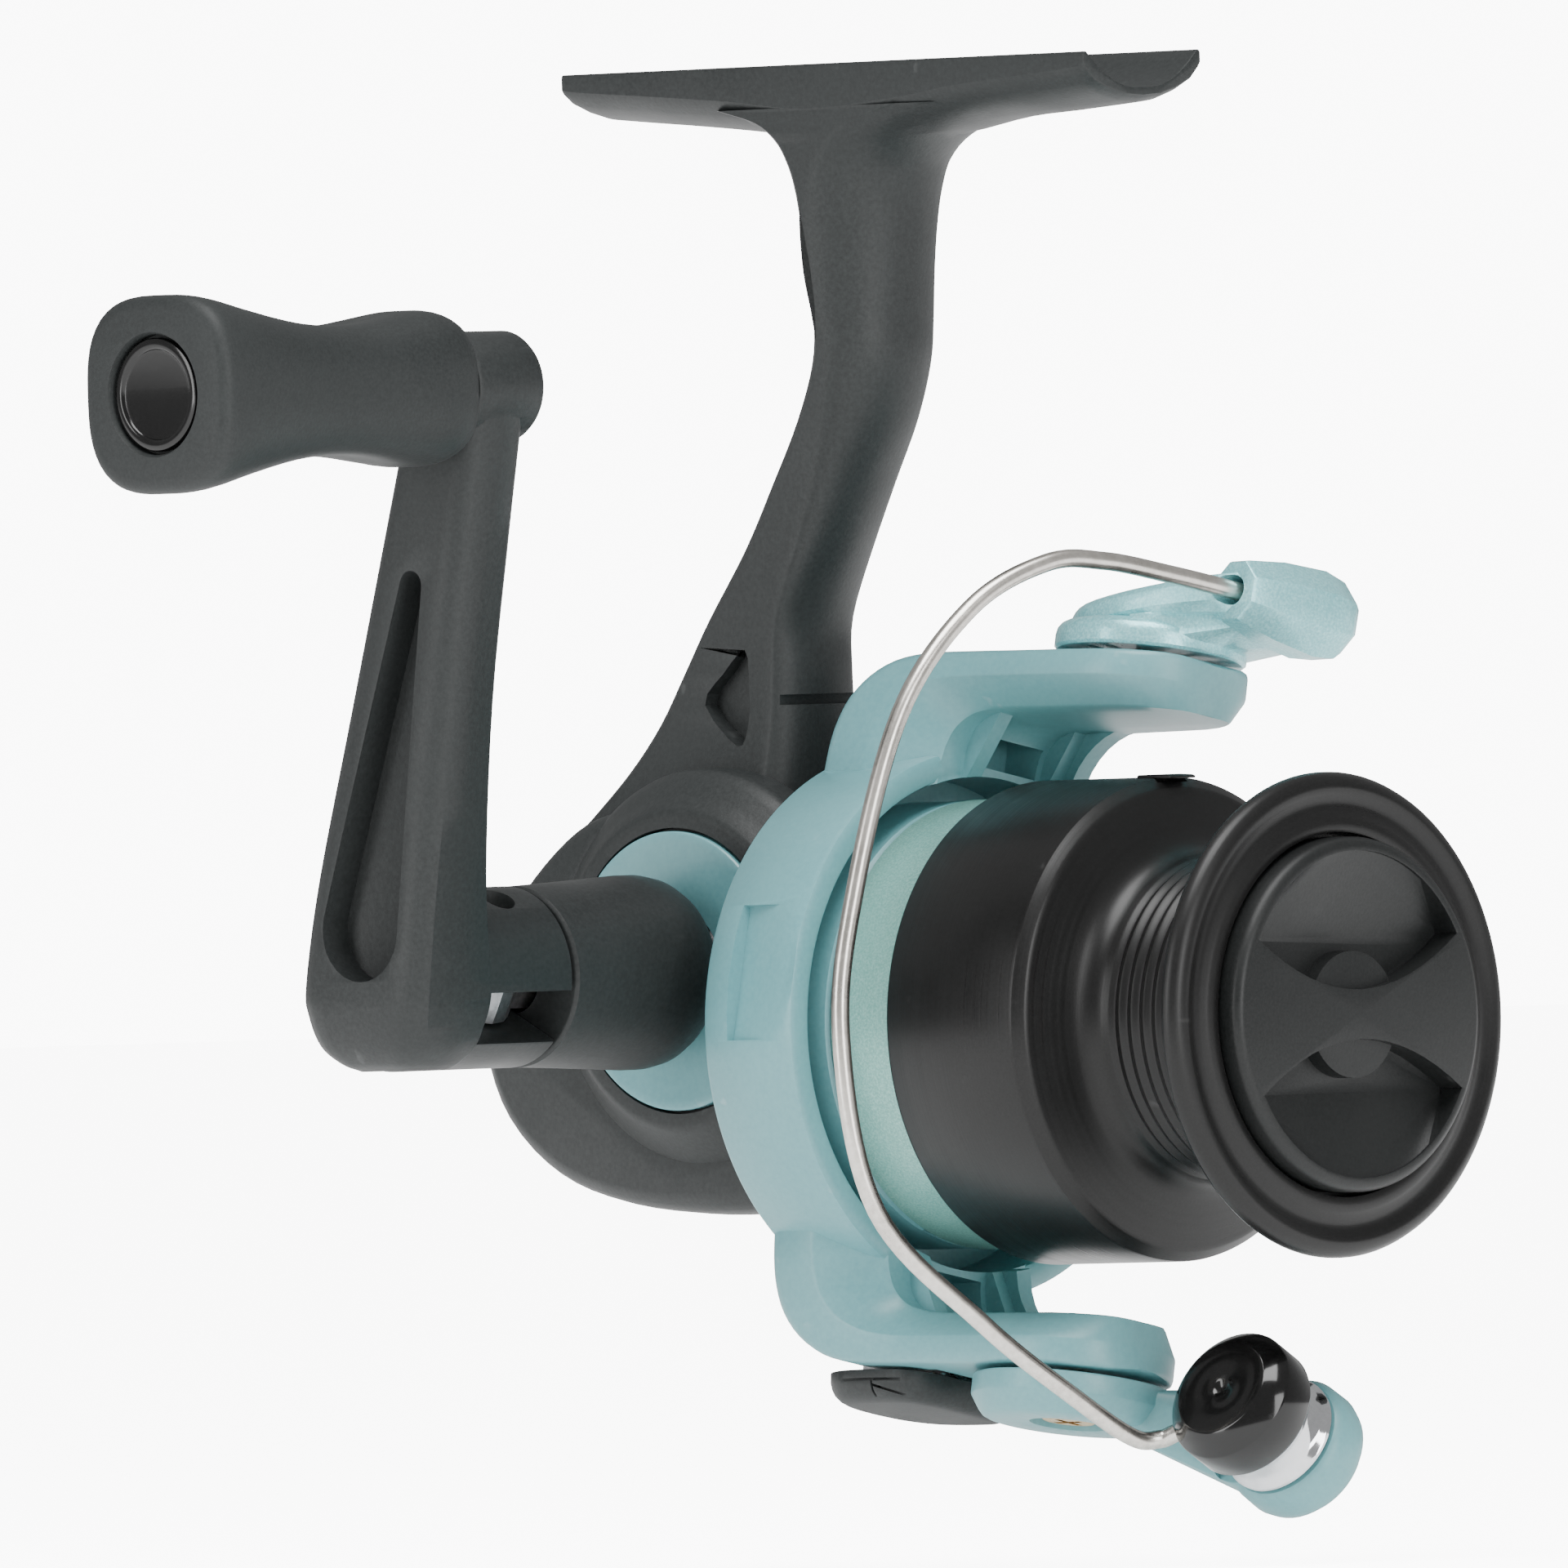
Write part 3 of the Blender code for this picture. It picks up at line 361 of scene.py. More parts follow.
def handlingMarksGroup():
    # a few short scratches and rubbed spots, as a mask
    group = newGroup("handlingMarks", {"Scratches per metre": 420.0, "Spots per metre": 260.0},
        ("Scratch", "Rub"))
    entry = addNode(group, "NodeGroupInput")
    leave = addNode(group, "NodeGroupOutput")
    place = addNode(group, "ShaderNodeTexCoord")
    turn = addNode(group, "ShaderNodeMapping")
    turn.inputs["Rotation"].default_value = (0.4, 0.9, 0.3)
    turn.inputs["Scale"].default_value = (1.0, 0.07, 1.0)
    group.links.new(place.outputs["Object"], turn.inputs["Vector"])
    line = addNode(group, "ShaderNodeTexNoise", Detail=2.0)
    where = addNode(group, "ShaderNodeTexNoise", Detail=3.0)
    group.links.new(turn.outputs["Vector"], line.inputs["Vector"])
    group.links.new(entry.outputs["Scratches per metre"], line.inputs["Scale"])
    group.links.new(place.outputs["Object"], where.inputs["Vector"])
    group.links.new(entry.outputs["Spots per metre"], where.inputs["Scale"])
    lines = addRange(group, line.outputs["Fac"], 0.68, 0.74, 0.0, 1.0)
    spots = addRange(group, where.outputs["Fac"], 0.52, 0.66, 0.0, 1.0)
    group.links.new(addMath(group, "MULTIPLY", lines, spots), leave.inputs["Scratch"])
    group.links.new(addRange(group, where.outputs["Fac"], 0.66, 0.8, 0.0, 1.0), leave.inputs["Rub"])
    return group


def turningMarksGroup():
    # fine rings that a lathe leaves round an axis along X at the spool's height
    group = newGroup("turningMarks", {"Rings per metre": 3200.0}, ("Rings",))
    entry = addNode(group, "NodeGroupInput")
    leave = addNode(group, "NodeGroupOutput")
    place = addNode(group, "ShaderNodeTexCoord")
    centre = addNode(group, "ShaderNodeMapping")
    centre.inputs["Location"].default_value = (0, 0, -spoolHeight)
    group.links.new(place.outputs["Object"], centre.inputs["Vector"])
    parts = addNode(group, "ShaderNodeSeparateXYZ")
    group.links.new(centre.outputs["Vector"], parts.inputs["Vector"])
    squareY = addMath(group, "MULTIPLY", parts.outputs["Y"], parts.outputs["Y"])
    squareZ = addMath(group, "MULTIPLY", parts.outputs["Z"], parts.outputs["Z"])
    radius = addMath(group, "SQRT", addMath(group, "ADD", squareY, squareZ), 0)
    flat = addNode(group, "ShaderNodeCombineXYZ")
    group.links.new(parts.outputs["X"], flat.inputs["X"])
    group.links.new(radius, flat.inputs["Y"])
    rings = addNode(group, "ShaderNodeTexNoise", Detail=3.0, Roughness=0.7)
    group.links.new(flat.outputs["Vector"], rings.inputs["Vector"])
    group.links.new(entry.outputs["Rings per metre"], rings.inputs["Scale"])
    group.links.new(addRange(group, rings.outputs["Fac"], 0.3, 0.7, 0.0, 1.0), leave.inputs["Rings"])
    return group


surfaceGrain = surfaceGrainGroup()
handlingMarks = handlingMarksGroup()
turningMarks = turningMarksGroup()


def mixColour(tree, factor, first, second):
    node = tree.nodes.new("ShaderNodeMix")
    node.data_type = "RGBA"
    tree.links.new(factor, node.inputs["Factor"])
    for socket, value in ((node.inputs[6], first), (node.inputs[7], second)):
        if isinstance(value, (tuple, list)):
            socket.default_value = (*value, 1.0)
        else:
            tree.links.new(value, socket)
    return node.outputs[2]


def makeFinish(name, look):
    material = bpy.data.materials.new(name)
    material.use_nodes = True
    tree = material.node_tree
    shader = tree.nodes["Principled BSDF"]
    shader.inputs["Metallic"].default_value = look.get("metallic", 0.0)
    shader.inputs["Specular IOR Level"].default_value = look.get("specular", 0.5)
    shader.inputs["Coat Weight"].default_value = look.get("coat", 0.0)
    shader.inputs["Coat Roughness"].default_value = look.get("coatRough", 0.1)
    grain = tree.nodes.new("ShaderNodeGroup")
    grain.node_tree = surfaceGrain
    grain.inputs["Grains per metre"].default_value = look.get("grains", 2600)
    grain.inputs["Patches per metre"].default_value = look.get("patches", 90)
    marks = tree.nodes.new("ShaderNodeGroup")
    marks.node_tree = handlingMarks
    marks.inputs["Spots per metre"].default_value = look.get("spots", 260)
    tone = addRange(tree, grain.outputs["Tone"], look.get("toneLow", 0.0), look.get("toneHigh", 1.0), 0.0,
        1.0)
    colour = mixColour(tree, tone, look["dark"], look["light"])
    if "shade" in look:
        drift = addMath(tree, "MULTIPLY", grain.outputs["Patch"], look.get("drift", 0.5))
        colour = mixColour(tree, drift, colour, look["shade"])
    worn = addMath(tree, "MULTIPLY", marks.outputs["Scratch"], look.get("scratch", 0.4))
    colour = mixColour(tree, worn, colour, look.get("bare", look["light"]))
    tree.links.new(colour, shader.inputs["Base Color"])
    low, high = look["rough"]
    rough = addRange(tree, grain.outputs["Patch"], 0.0, 1.0, low, high)
    height = grain.outputs["Height"]
    if "rings" in look:
        rings = tree.nodes.new("ShaderNodeGroup")
        rings.node_tree = turningMarks
        rings.inputs["Rings per metre"].default_value = look["rings"]
        share = look.get("ringShare", 0.5)
        ringed = addMath(tree, "MULTIPLY", rings.outputs["Rings"], share)
        height = addMath(tree, "ADD", addMath(tree, "MULTIPLY", height, 1 - share), ringed)
        change = addRange(tree, rings.outputs["Rings"], 0.0, 1.0, -0.05, 0.05)
        rough = addMath(tree, "ADD", rough, change)
    rubbed = addMath(tree, "MULTIPLY", marks.outputs["Rub"], look.get("rub", -0.05))
    tree.links.new(addMath(tree, "ADD", rough, rubbed), shader.inputs["Roughness"])
    bump = tree.nodes.new("ShaderNodeBump")
    bump.inputs["Strength"].default_value = look.get("bump", 0.15)
    bump.inputs["Distance"].default_value = look.get("depth", 0.00004)
    tree.links.new(height, bump.inputs["Height"])
    tree.links.new(bump.outputs["Normal"], shader.inputs["Normal"])
    return material


graphiteLook = {
    "dark": (0.012, 0.014, 0.014), "light": (0.023, 0.026, 0.026), "shade": (0.019, 0.022, 0.022),
    "rough": (0.42, 0.56), "grains": 2600, "patches": 60, "bump": 0.32, "bare": (0.12, 0.125, 0.125),
    "scratch": 0.25, "specular": 0.34,
}
tealLook = {
    "dark": (0.112, 0.295, 0.32), "light": (0.14, 0.338, 0.362), "shade": (0.16, 0.37, 0.388),
    "rough": (0.32, 0.46), "grains": 1900, "patches": 70, "bump": 0.10, "bare": (0.46, 0.6, 0.62),
    "scratch": 0.35, "coat": 0.12, "coatRough": 0.3,
}
bracketLook = {
    "dark": (0.19, 0.52, 0.56), "light": (0.46, 0.86, 0.88), "toneLow": 0.25, "toneHigh": 1.15,
    "shade": (0.28, 0.64, 0.67), "rough": (0.26, 0.38), "metallic": 0.4, "grains": 4200, "patches": 110,
    "bump": 0.42, "bare": (0.6, 0.8, 0.82), "coat": 0.35, "coatRough": 0.16,
}
sleeveLook = {
    "dark": (0.14, 0.34, 0.30), "light": (0.34, 0.62, 0.55), "toneLow": 0.2, "toneHigh": 1.2,
    "shade": (0.21, 0.46, 0.41), "rough": (0.3, 0.42), "metallic": 0.4, "grains": 5200, "patches": 60,
    "bump": 0.30, "coat": 0.2, "coatRough": 0.22,
}
spoolLook = {
    "dark": (0.004, 0.004, 0.004), "light": (0.008, 0.008, 0.008), "shade": (0.009, 0.009, 0.009),
    "rough": (0.28, 0.38), "grains": 4200, "patches": 50, "bump": 0.10, "rings": 2600, "ringShare": 0.75,
    "bare": (0.09, 0.09, 0.09), "scratch": 0.3, "specular": 0.30,
}
glossLook = {
    "dark": (0.003, 0.003, 0.003), "light": (0.005, 0.005, 0.005), "rough": (0.10, 0.18), "grains": 2500,
    "bump": 0.02, "bare": (0.08, 0.08, 0.08), "scratch": 0.3, "specular": 0.35, "coat": 0.2,
    "coatRough": 0.05,
}
knobLook = {
    "dark": (0.006, 0.007, 0.007), "light": (0.012, 0.013, 0.013), "shade": (0.013, 0.014, 0.014),
    "rough": (0.36, 0.5), "grains": 3400, "patches": 80, "bump": 0.22, "bare": (0.08, 0.08, 0.08),
    "specular": 0.3,
}
rubberLook = {
    "dark": (0.011, 0.013, 0.013), "light": (0.020, 0.023, 0.023), "shade": (0.024, 0.027, 0.027),
    "rough": (0.50, 0.64), "grains": 3300, "patches": 70, "bump": 0.42, "bare": (0.09, 0.09, 0.09),
    "scratch": 0.3, "specular": 0.34,
}
wireLook = {
    "dark": (0.52, 0.49, 0.45), "light": (0.72, 0.69, 0.64), "shade": (0.80, 0.76, 0.70), "metallic": 1.0,
    "rough": (0.24, 0.34), "grains": 1400, "patches": 120, "bump": 0.10, "bare": (0.85, 0.82, 0.78),
}
steelLook = {
    "dark": (0.48, 0.47, 0.45), "light": (0.66, 0.65, 0.62), "metallic": 1.0, "rough": (0.2, 0.36),
    "grains": 2200, "patches": 200, "bump": 0.14, "bare": (0.8, 0.79, 0.77),
}
bearingLook = {
    "dark": (0.45, 0.45, 0.46), "light": (0.60, 0.60, 0.61), "metallic": 1.0, "rough": (0.16, 0.3),
    "grains": 3000, "patches": 160, "bump": 0.08, "bare": (0.75, 0.75, 0.76),
}
chromeLook = {
    "dark": (0.70, 0.71, 0.73), "light": (0.78, 0.79, 0.81), "metallic": 1.0, "rough": (0.05, 0.12),
    "grains": 1800, "patches": 160, "bump": 0.03, "bare": (0.85, 0.85, 0.86),
}
zincLook = {
    "dark": (0.34, 0.34, 0.35), "light": (0.50, 0.50, 0.51), "metallic": 1.0, "rough": (0.36, 0.52),
    "grains": 1800, "patches": 120, "bump": 0.4, "bare": (0.66, 0.66, 0.67),
}
brassLook = {
    "dark": (0.56, 0.38, 0.14), "light": (0.76, 0.56, 0.26), "shade": (0.48, 0.31, 0.12), "metallic": 1.0,
    "rough": (0.22, 0.4), "grains": 2000, "patches": 300, "bump": 0.16, "bare": (0.86, 0.68, 0.36),
}
feltLook = {
    "dark": (0.36, 0.33, 0.25), "light": (0.56, 0.52, 0.42), "rough": (0.85, 0.95), "grains": 2400,
    "bump": 0.8, "depth": 0.0001, "scratch": 0.0,
}
nylonLook = {
    "dark": (0.66, 0.65, 0.61), "light": (0.76, 0.75, 0.71), "shade": (0.70, 0.67, 0.6), "rough": (0.38, 0.5),
    "grains": 2200, "bump": 0.14, "scratch": 0.1,
}
finishes = {
    "graphite_plastic": makeFinish("graphite filled nylon", graphiteLook),
    "teal_plastic": makeFinish("teal moulded plastic", tealLook),
    "teal_metallic": makeFinish("teal metallic lacquer", bracketLook),
    "green_metallic": makeFinish("sea green metallic lacquer", sleeveLook),
    "black_anodised": makeFinish("black anodised aluminium", spoolLook),
    "gloss_black": makeFinish("glossy black plastic", glossLook),
    "satin_black": makeFinish("satin black plastic", knobLook),
    "soft_rubber": makeFinish("soft black rubber", rubberLook),
    "stainless_steel": makeFinish("stainless steel", steelLook),
    "bail_wire_steel": makeFinish("polished bail wire", wireLook),
    "bearing_steel": makeFinish("ground bearing steel", bearingLook),
    "chrome": makeFinish("polished chrome", chromeLook),
    "die_cast_zinc": makeFinish("die cast zinc", zincLook),
    "brass": makeFinish("machined brass", brassLook),
    "drag_felt": makeFinish("drag felt", feltLook),
    "nylon": makeFinish("natural nylon", nylonLook),
}
print("finishes made:", len(finishes))


footValues = {"half": 7.4, "seat": 81.0, "saddle": 3.2}
caseValues = {"middle": (-6.0, 4.0), "front": 13.2, "guideRod": -7.2}
screwSpots = [(-23.4, 0.5), (2.0, -13.0), (-16.2, 14.8)]
caseRear = [
    (8.0, -15.8), (-1.0, -16.0), (-11.0, -15.0), (-19.0, -12.4), (-25.0, -7.5), (-27.7, -1.0), (-27.3, 5.0),
    (-24.0, 11.0), (-19.5, 15.6), (-14.5, 18.8), (-9.0, 20.2),
]
caseFront = [(5.1, 20.2), (9.5, 17.8), (13.2, 13.0), (13.2, -13.0)]
gearRoom = [
    (9.2, -11.4), (-12.0, -11.4), (-17.5, -11.0), (-21.2, -7.6), (-21.2, 4.6), (-14.4, 12.0), (-9.6, 16.6),
    (9.2, 16.6),
]


def footSection(x, sideLow, middleLow):
    half, seat, top = footValues["half"], footValues["seat"], footValues["seat"] + footValues["saddle"]
    drop = sideLow - middleLow
    saddle = []
    for step in range(-6, 7):
        y = step / 6 * (half - 0.35)
        rise = max(0.0, abs(y) - 1.1) / (half - 1.45)
        saddle.append((y, seat + (top - seat) * rise**1.9))
    under = [
        (half - 0.06, top - 0.08), (half, top - 0.3), (half, sideLow + 0.35), (half - 0.25, sideLow - 0.05),
        (6.1, sideLow - 0.42 * drop), (4.4, sideLow - 0.72 * drop), (2.4, sideLow - 0.93 * drop),
    ]
    lower = under + [(0.0, middleLow)] + [(-y, z) for y, z in reversed(under)]
    return [(x, y, z) for y, z in saddle + lower]


def stemSection(z, rear, shoulder, nose, half):
    reach = nose - shoulder
    side = [
        (rear, 0.0), (rear, 0.45 * half), (rear + 0.12, 0.72 * half), (rear + 0.5, 0.92 * half),
        (rear + 1.2, half), (shoulder - 1.1, half), (shoulder - 0.15, half), (shoulder + 0.22, 0.985 * half),
        (shoulder + 0.3 * reach, 0.93 * half), (shoulder + 0.55 * reach, 0.8 * half),
        (shoulder + 0.77 * reach, 0.6 * half), (shoulder + 0.92 * reach, 0.36 * half),
        (shoulder + 0.985 * reach, 0.15 * half), (nose, 0.0),
    ]
    return [(x, y, z) for x, y in side] + [(x, -y, z) for x, y in side[-2:0:-1]]


def caseSection(y, size):
    middleX, middleZ = caseValues["middle"]
    outline = [tuple(row) for row in smoothRows(caseRear, 4)] + caseFront
    return [(middleX + (x - middleX) * size, y, middleZ + (z - middleZ) * size) for x, z in outline]


def crankBoss(side):
    outline = [
        (6.0, 0), (6.0, 17.6), (8.6, 17.6), (9.3, 17.35), (10.0, 16.7), (10.8, 15.7), (11.6, 14.9),
        (12.2, 14.3), (12.5, 13.9), (12.6, 13.5), (12.6, 0),
    ]
    return lathe("crank boss", [(side * y, r) for y, r in outline], 96, "Y", closed=False)


def rodOf(name, low, high, radius, axis="X", steps=32):
    return lathe(name, [(low, 0), (low, radius), (high, radius), (high, 0)], steps, axis, closed=False)


def crossCut(size, depth, top):
    # two crossed bars that cut a screwdriver recess from above, along Z
    bar = block("driver slot", (-size, -0.32, top - depth), (size, 0.32, top + 1))
    return joinOn(bar, block("driver slot", (-0.32, -size, top - depth), (0.32, size, top + 1)))


def makeBody():
    sizes = [(-9.8, 0.9), (-9.55, 0.925), (-9.1, 0.955), (-8.4, 0.978), (-7.2, 0.992), (-5.5, 1.0),
        (5.2, 1.0)]
    body = skin("bodyHousing", [caseSection(y, size) for y, size in sizes])
    joinOn(body, crankBoss(-1), shift(0, 0, 5.5))
    cutAway(body, block("rotor room", (caseValues["front"], -30, -30), (40, 30, 30)))
    nose = [(8.6, 0), (8.6, 16.6), (15.7, 16.6), (16.0, 16.3), (16.0, 11.0), (20.2, 11.0), (20.5, 10.7),
        (20.5, 0)]
    joinOn(body, lathe("nose", nose, 96, "X", closed=False))
    rows = [
        (11.0, -23.4, 5.0, 8.6, 9.2), (15.0, -19.9, 5.0, 8.6, 8.5), (19.0, -15.7, 5.1, 8.3, 7.3),
        (23.0, -11.9, 5.2, 7.8, 6.1), (27.0, -8.8, 5.3, 7.4, 5.3), (31.5, -5.9, 5.4, 7.4, 5.0),
        (36.0, -2.9, 5.9, 7.6, 4.9), (42.0, 1.7, 8.4, 10.9, 4.85), (47.5, 5.3, 10.9, 13.9, 5.0),
        (53.0, 9.0, 12.9, 17.0, 5.5), (58.0, 11.5, 14.2, 18.5, 6.0), (62.0, 12.2, 14.1, 18.9, 6.4),
        (66.0, 12.2, 13.6, 19.3, 6.8), (70.5, 11.6, 13.6, 19.9, 7.1), (73.5, 11.1, 14.2, 20.6, 7.25),
        (75.7, 10.3, 15.2, 21.7, 7.3), (77.6, 9.0, 16.9, 24.4, 7.32), (79.2, 6.6, 20.0, 29.6, 7.34),
        (80.4, 2.2, 24.6, 36.5, 7.36),
    ]
    joinOn(body, skin("stem", [stemSection(*row) for row in smoothRows(rows, 4)]))
    rows = [
        (-15.5, 82.5, 80.6), (-14.6, 82.35, 80.1), (-12.0, 82.1, 79.8), (-5.0, 81.6, 79.2), (5.0, 80.8, 78.2),
        (14.0, 79.9, 76.9), (24.0, 80.5, 77.5), (32.0, 81.4, 78.7), (40.0, 82.0, 79.2), (45.5, 82.4, 79.6),
        (46.9, 82.6, 79.9), (47.5, 82.75, 80.3),
    ]
    foot = skin("foot", [footSection(*row) for row in smoothRows(rows, 4)])
    joinOn(body, softenEdges(foot, 0.22, 2, 55))
    cutAway(body, block("cover room", (-40, 5.2, -30), (21.2, 30, 20.6)))
    seat = [(8.6, 0), (8.6, 13.0), (16.0, 13.0), (16.0, 10.5), (20.5, 10.5), (20.5, 0)]
    joinOn(body, lathe("clutch seat", seat, 64, "X", closed=False))
    cutAway(body, plate("gear room", gearRoom, "XZ", -8.0, 9.2))
    atCrank = shift(0, 0, 5.5)
    cutAway(body, rodOf("bearing bore", -20, -7, 6.8, "Y"), atCrank)
    cutAway(body, rodOf("trim recess", -20, -11.3, 12.5, "Y", 96), atCrank)
    cutAway(body, rodOf("pinion bore", 7, 9.3, 3.1))
    cutAway(body, rodOf("pinion bearing bore", 9.2, 13.0, 6.3))
    cutAway(body, rodOf("clutch bore", 12.9, 21, 9.4, steps=48))
    cutAway(body, rodOf("guide rod bore", -22.8, 10.4, 1.3), shift(0, 0, caseValues["guideRod"]))
    for x, z in screwSpots:
        cutAway(body, rodOf("screw bore", -4.6, 9, 1.2, "Y", 20), shift(x, 0, z))
    recess = smoothLoop([(-2.6, 28.6), (-0.4, 31.3), (2.2, 33.3), (2.7, 30.0), (2.7, 26.6), (1.6, 24.9)], 3)
    cutAway(body, plate("side recess", recess, "XZ", -8, -3.6))
    cutAway(body, block("stem notch", (6.0, -8, 28.4), (12, 8, 29.3)))
    softenEdges(body, 0.18, 2, 48)
    return settle(body, reelPlace, finishes["graphite_plastic"], "case", "graphite_plastic", "body_housing")


def makeSideCover():
    sizes = [(5.5, 1.0), (7.2, 0.992), (8.4, 0.978), (9.1, 0.955), (9.55, 0.925), (9.8, 0.9)]
    cover = skin("sideCover", [caseSection(y, size) for y, size in sizes])
    atCrank = shift(0, 0, 5.5)
    joinOn(cover, crankBoss(1), atCrank)
    cutAway(cover, block("rotor room", (caseValues["front"], -30, -30), (40, 30, 30)))
    cutAway(cover, block("stem room", (-40, -30, 20.3), (40, 30, 40)))
    cutAway(cover, block("parting face", (-40, -30, -40), (40, 5.5, 40)))
    cutAway(cover, plate("gear room", gearRoom, "XZ", 0, 8.0))
    cutAway(cover, rodOf("bearing bore", 7, 20, 6.8, "Y"), atCrank)
    cutAway(cover, rodOf("nose room", 8.0, 30.0, 17.0, "X", 96))
    for x, z in screwSpots:
        cutAway(cover, rodOf("screw bore", 0, 20, 1.5, "Y", 20), shift(x, 0, z))
        cutAway(cover, rodOf("head seat", 8.4, 20, 2.3, "Y", 32), shift(x, 0, z))
    softenEdges(cover, 0.2, 2, 48)
    return settle(cover, reelPlace, finishes["graphite_plastic"], "case", "graphite_plastic", "side_cover")


def makeCoverScrews():
    outline = [
        (-4.0, 0), (-4.0, 0.7), (-3.7, 0.9), (8.7, 0.9), (8.7, 1.9), (8.8, 2.0), (9.3, 2.0), (9.6, 1.8),
        (9.75, 1.4), (9.8, 0.9), (9.8, 0),
    ]
    lieDown = Matrix.Rotation(-math.pi / 2, 4, "X")
    for number, (x, z) in enumerate(screwSpots, 1):
        screw = lathe(f"coverScrew{number}", outline, 40, "Y", closed=False)
        cutAway(screw, crossCut(1.2, 0.8, 9.8), lieDown)
        place = reelPlace @ shift(x, 0, z)
        steel = finishes["stainless_steel"]
        settle(screw, place, steel, "case", "stainless_steel", f"cover_screw_{number}")


def makeTrimRing():
    outline = [
        (-11.7, 5.6), (-11.7, 12.2), (-12.8, 12.2), (-12.95, 12.1), (-13.0, 11.9), (-12.9, 11.3),
        (-12.75, 5.6),
    ]
    ring = lathe("trimRing", outline, 128, "Y")
    return settle(ring, crankPlace, finishes["teal_plastic"], "case", "teal_plastic", "trim_ring")


makeBody()
makeSideCover()
makeCoverScrews()
makeTrimRing()
print("body, side cover, screws and trim ring made")


rotorValues = {"pivot": 40.1}
armStations = [
    # outer x, outer w, inner x, inner w, half width
    (13.9, 19.0, 24.5, 19.0, 12.9), (13.9, 22.5, 24.5, 21.8, 12.5), (14.1, 25.0, 24.7, 23.6, 12.0),
    (14.9, 27.3, 25.3, 25.0, 11.5), (16.5, 29.3, 26.6, 26.1, 10.9), (18.8, 30.7, 28.6, 26.6, 10.3),
    (21.8, 31.35, 30.8, 26.7, 9.8), (25.4, 31.5, 32.6, 26.7, 9.4), (32.0, 31.5, 35.2, 26.7, 9.1),
    (38.0, 31.5, 38.4, 26.7, 8.85), (40.1, 31.5, 40.1, 26.7, 8.7),
]


def armSection(outerX, outerW, innerX, innerW, half, sign, tip=1.0):
    # tall upper band, a lower band that slopes inward, then a narrower underside
    across = [
        (0.0, 0.0), (0.0, 0.5), (0.0, 0.9), (0.02, 0.955), (0.06, 0.985), (0.12, 1.0), (0.47, 1.0),
        (0.51, 0.99), (0.96, 0.72), (1.0, 0.68), (1.0, 0.35), (1.0, 0.0),
    ]
    ring = []
    for share, wide in across:
        x = outerX + (innerX - outerX) * share
        w = outerW + (innerW - outerW) * share
        ring.append((x, wide * half * tip, w * sign))
    return ring + [(x, -v, w) for x, v, w in ring[-2:0:-1]]


def makeArm(sign):
    sections = []
    for row in smoothRows(armStations[:-1], 3):
        sections.append(armSection(*row, sign))
    pivot, radius = rotorValues["pivot"], armStations[-1][4]
    for degrees in (0, 14, 27, 39, 50, 60, 68, 75, 81, 85):
        a = math.radians(degrees)
        x = pivot + radius * math.sin(a)
        lift = 0.55 * max(0.0, (degrees - 55) / 30)
        sections.append(armSection(x, 31.5 - lift, x - 2.0 * lift, 26.7, radius * math.cos(a), sign))
    return skin("arm", sections)


def makeRotor():
    outline = [
        (13.8, 17.3), (13.8, 23.3), (13.95, 23.75), (14.4, 24.0), (23.8, 24.0), (24.3, 23.85), (24.5, 23.45),
        (24.5, 22.1), (24.35, 21.75), (24.0, 21.6), (17.5, 21.6), (17.5, 19.5), (24.3, 19.5), (24.6, 19.2),
        (24.6, 18.6), (36.3, 18.6), (36.5, 18.4), (36.5, 2.8), (34.0, 2.8), (34.0, 17.3),
    ]
    rotor = lathe("rotorFrame", outline, 160, "X")
    for sign in (1, -1):
        arm = makeArm(sign)
        joinOn(rotor, arm)
        gusset = [(24.0, sign * 20.0), (24.6, sign * 20.2), (28.6, sign * 27.2), (24.0, sign * 27.2)]
        for low, high in ((-5.6, -4.0), (4.0, 5.6)):
            joinOn(rotor, plate("gusset", gusset, "XZ", low, high))
        curve = arcPoints((33.9, 19.9 * sign), 7.2, 180, 180 - 82 * sign, 8)
        web = [(24.0, sign * 19.0), (26.4, sign * 18.9), *curve, (33.0, sign * 27.2), (24.0, sign * 27.2)]
        joinOn(rotor, plate("web", web, "XZ", 5.4, 7.2))
        low, high = sorted((sign * 22.2, sign * 25.8))
        cutAway(rotor, block("root pocket", (20.8, -3.4, low), (25.2, 3.4, high)))
        low, high = sorted((sign * 26.85, sign * 34.0))
        cutAway(rotor, rodOf("pivot bore", low, high, 1.6, "Z"), shift(rotorValues["pivot"]))
    groove = [(17.5, 19.5), (17.5, 21.6), (30.0, 21.6), (30.0, 19.5)]
    cutAway(rotor, lathe("groove", groove, 160, "X"))
    cutAway(rotor, block("spring pocket", (17.0, -5.5, -33.0), (29.0, 5.5, -28.2)))
    wedge = [(16.8, y, w) for y in (-6, 6) for w in (22.5, 26)] + [(25.5, y, w) for y in (-6,
        6) for w in (24.0, 26)]
    turn = Matrix.Rotation(math.radians(88.5), 4, "X")
    for extra in (0, math.pi):
        cutAway(rotor, wrapAround("side recess", wedge), Matrix.Rotation(extra, 4, "X") @ turn)
    softenEdges(rotor, 0.22, 2, 50)
    return settle(rotor, rotorPlace, finishes["teal_plastic"], "rotor", "teal_plastic", "rotor")


def makeSleeve():
    outline = [(24.9, 18.9), (24.9, 19.4), (25.1, 19.6), (37.0, 19.6), (37.2, 19.4), (37.2, 18.9)]
    sleeve = lathe("rotorSleeve", outline, 160, "X")
    return settle(sleeve, rotorPlace, finishes["green_metallic"], "rotor", "green_metallic", "rotor_sleeve")


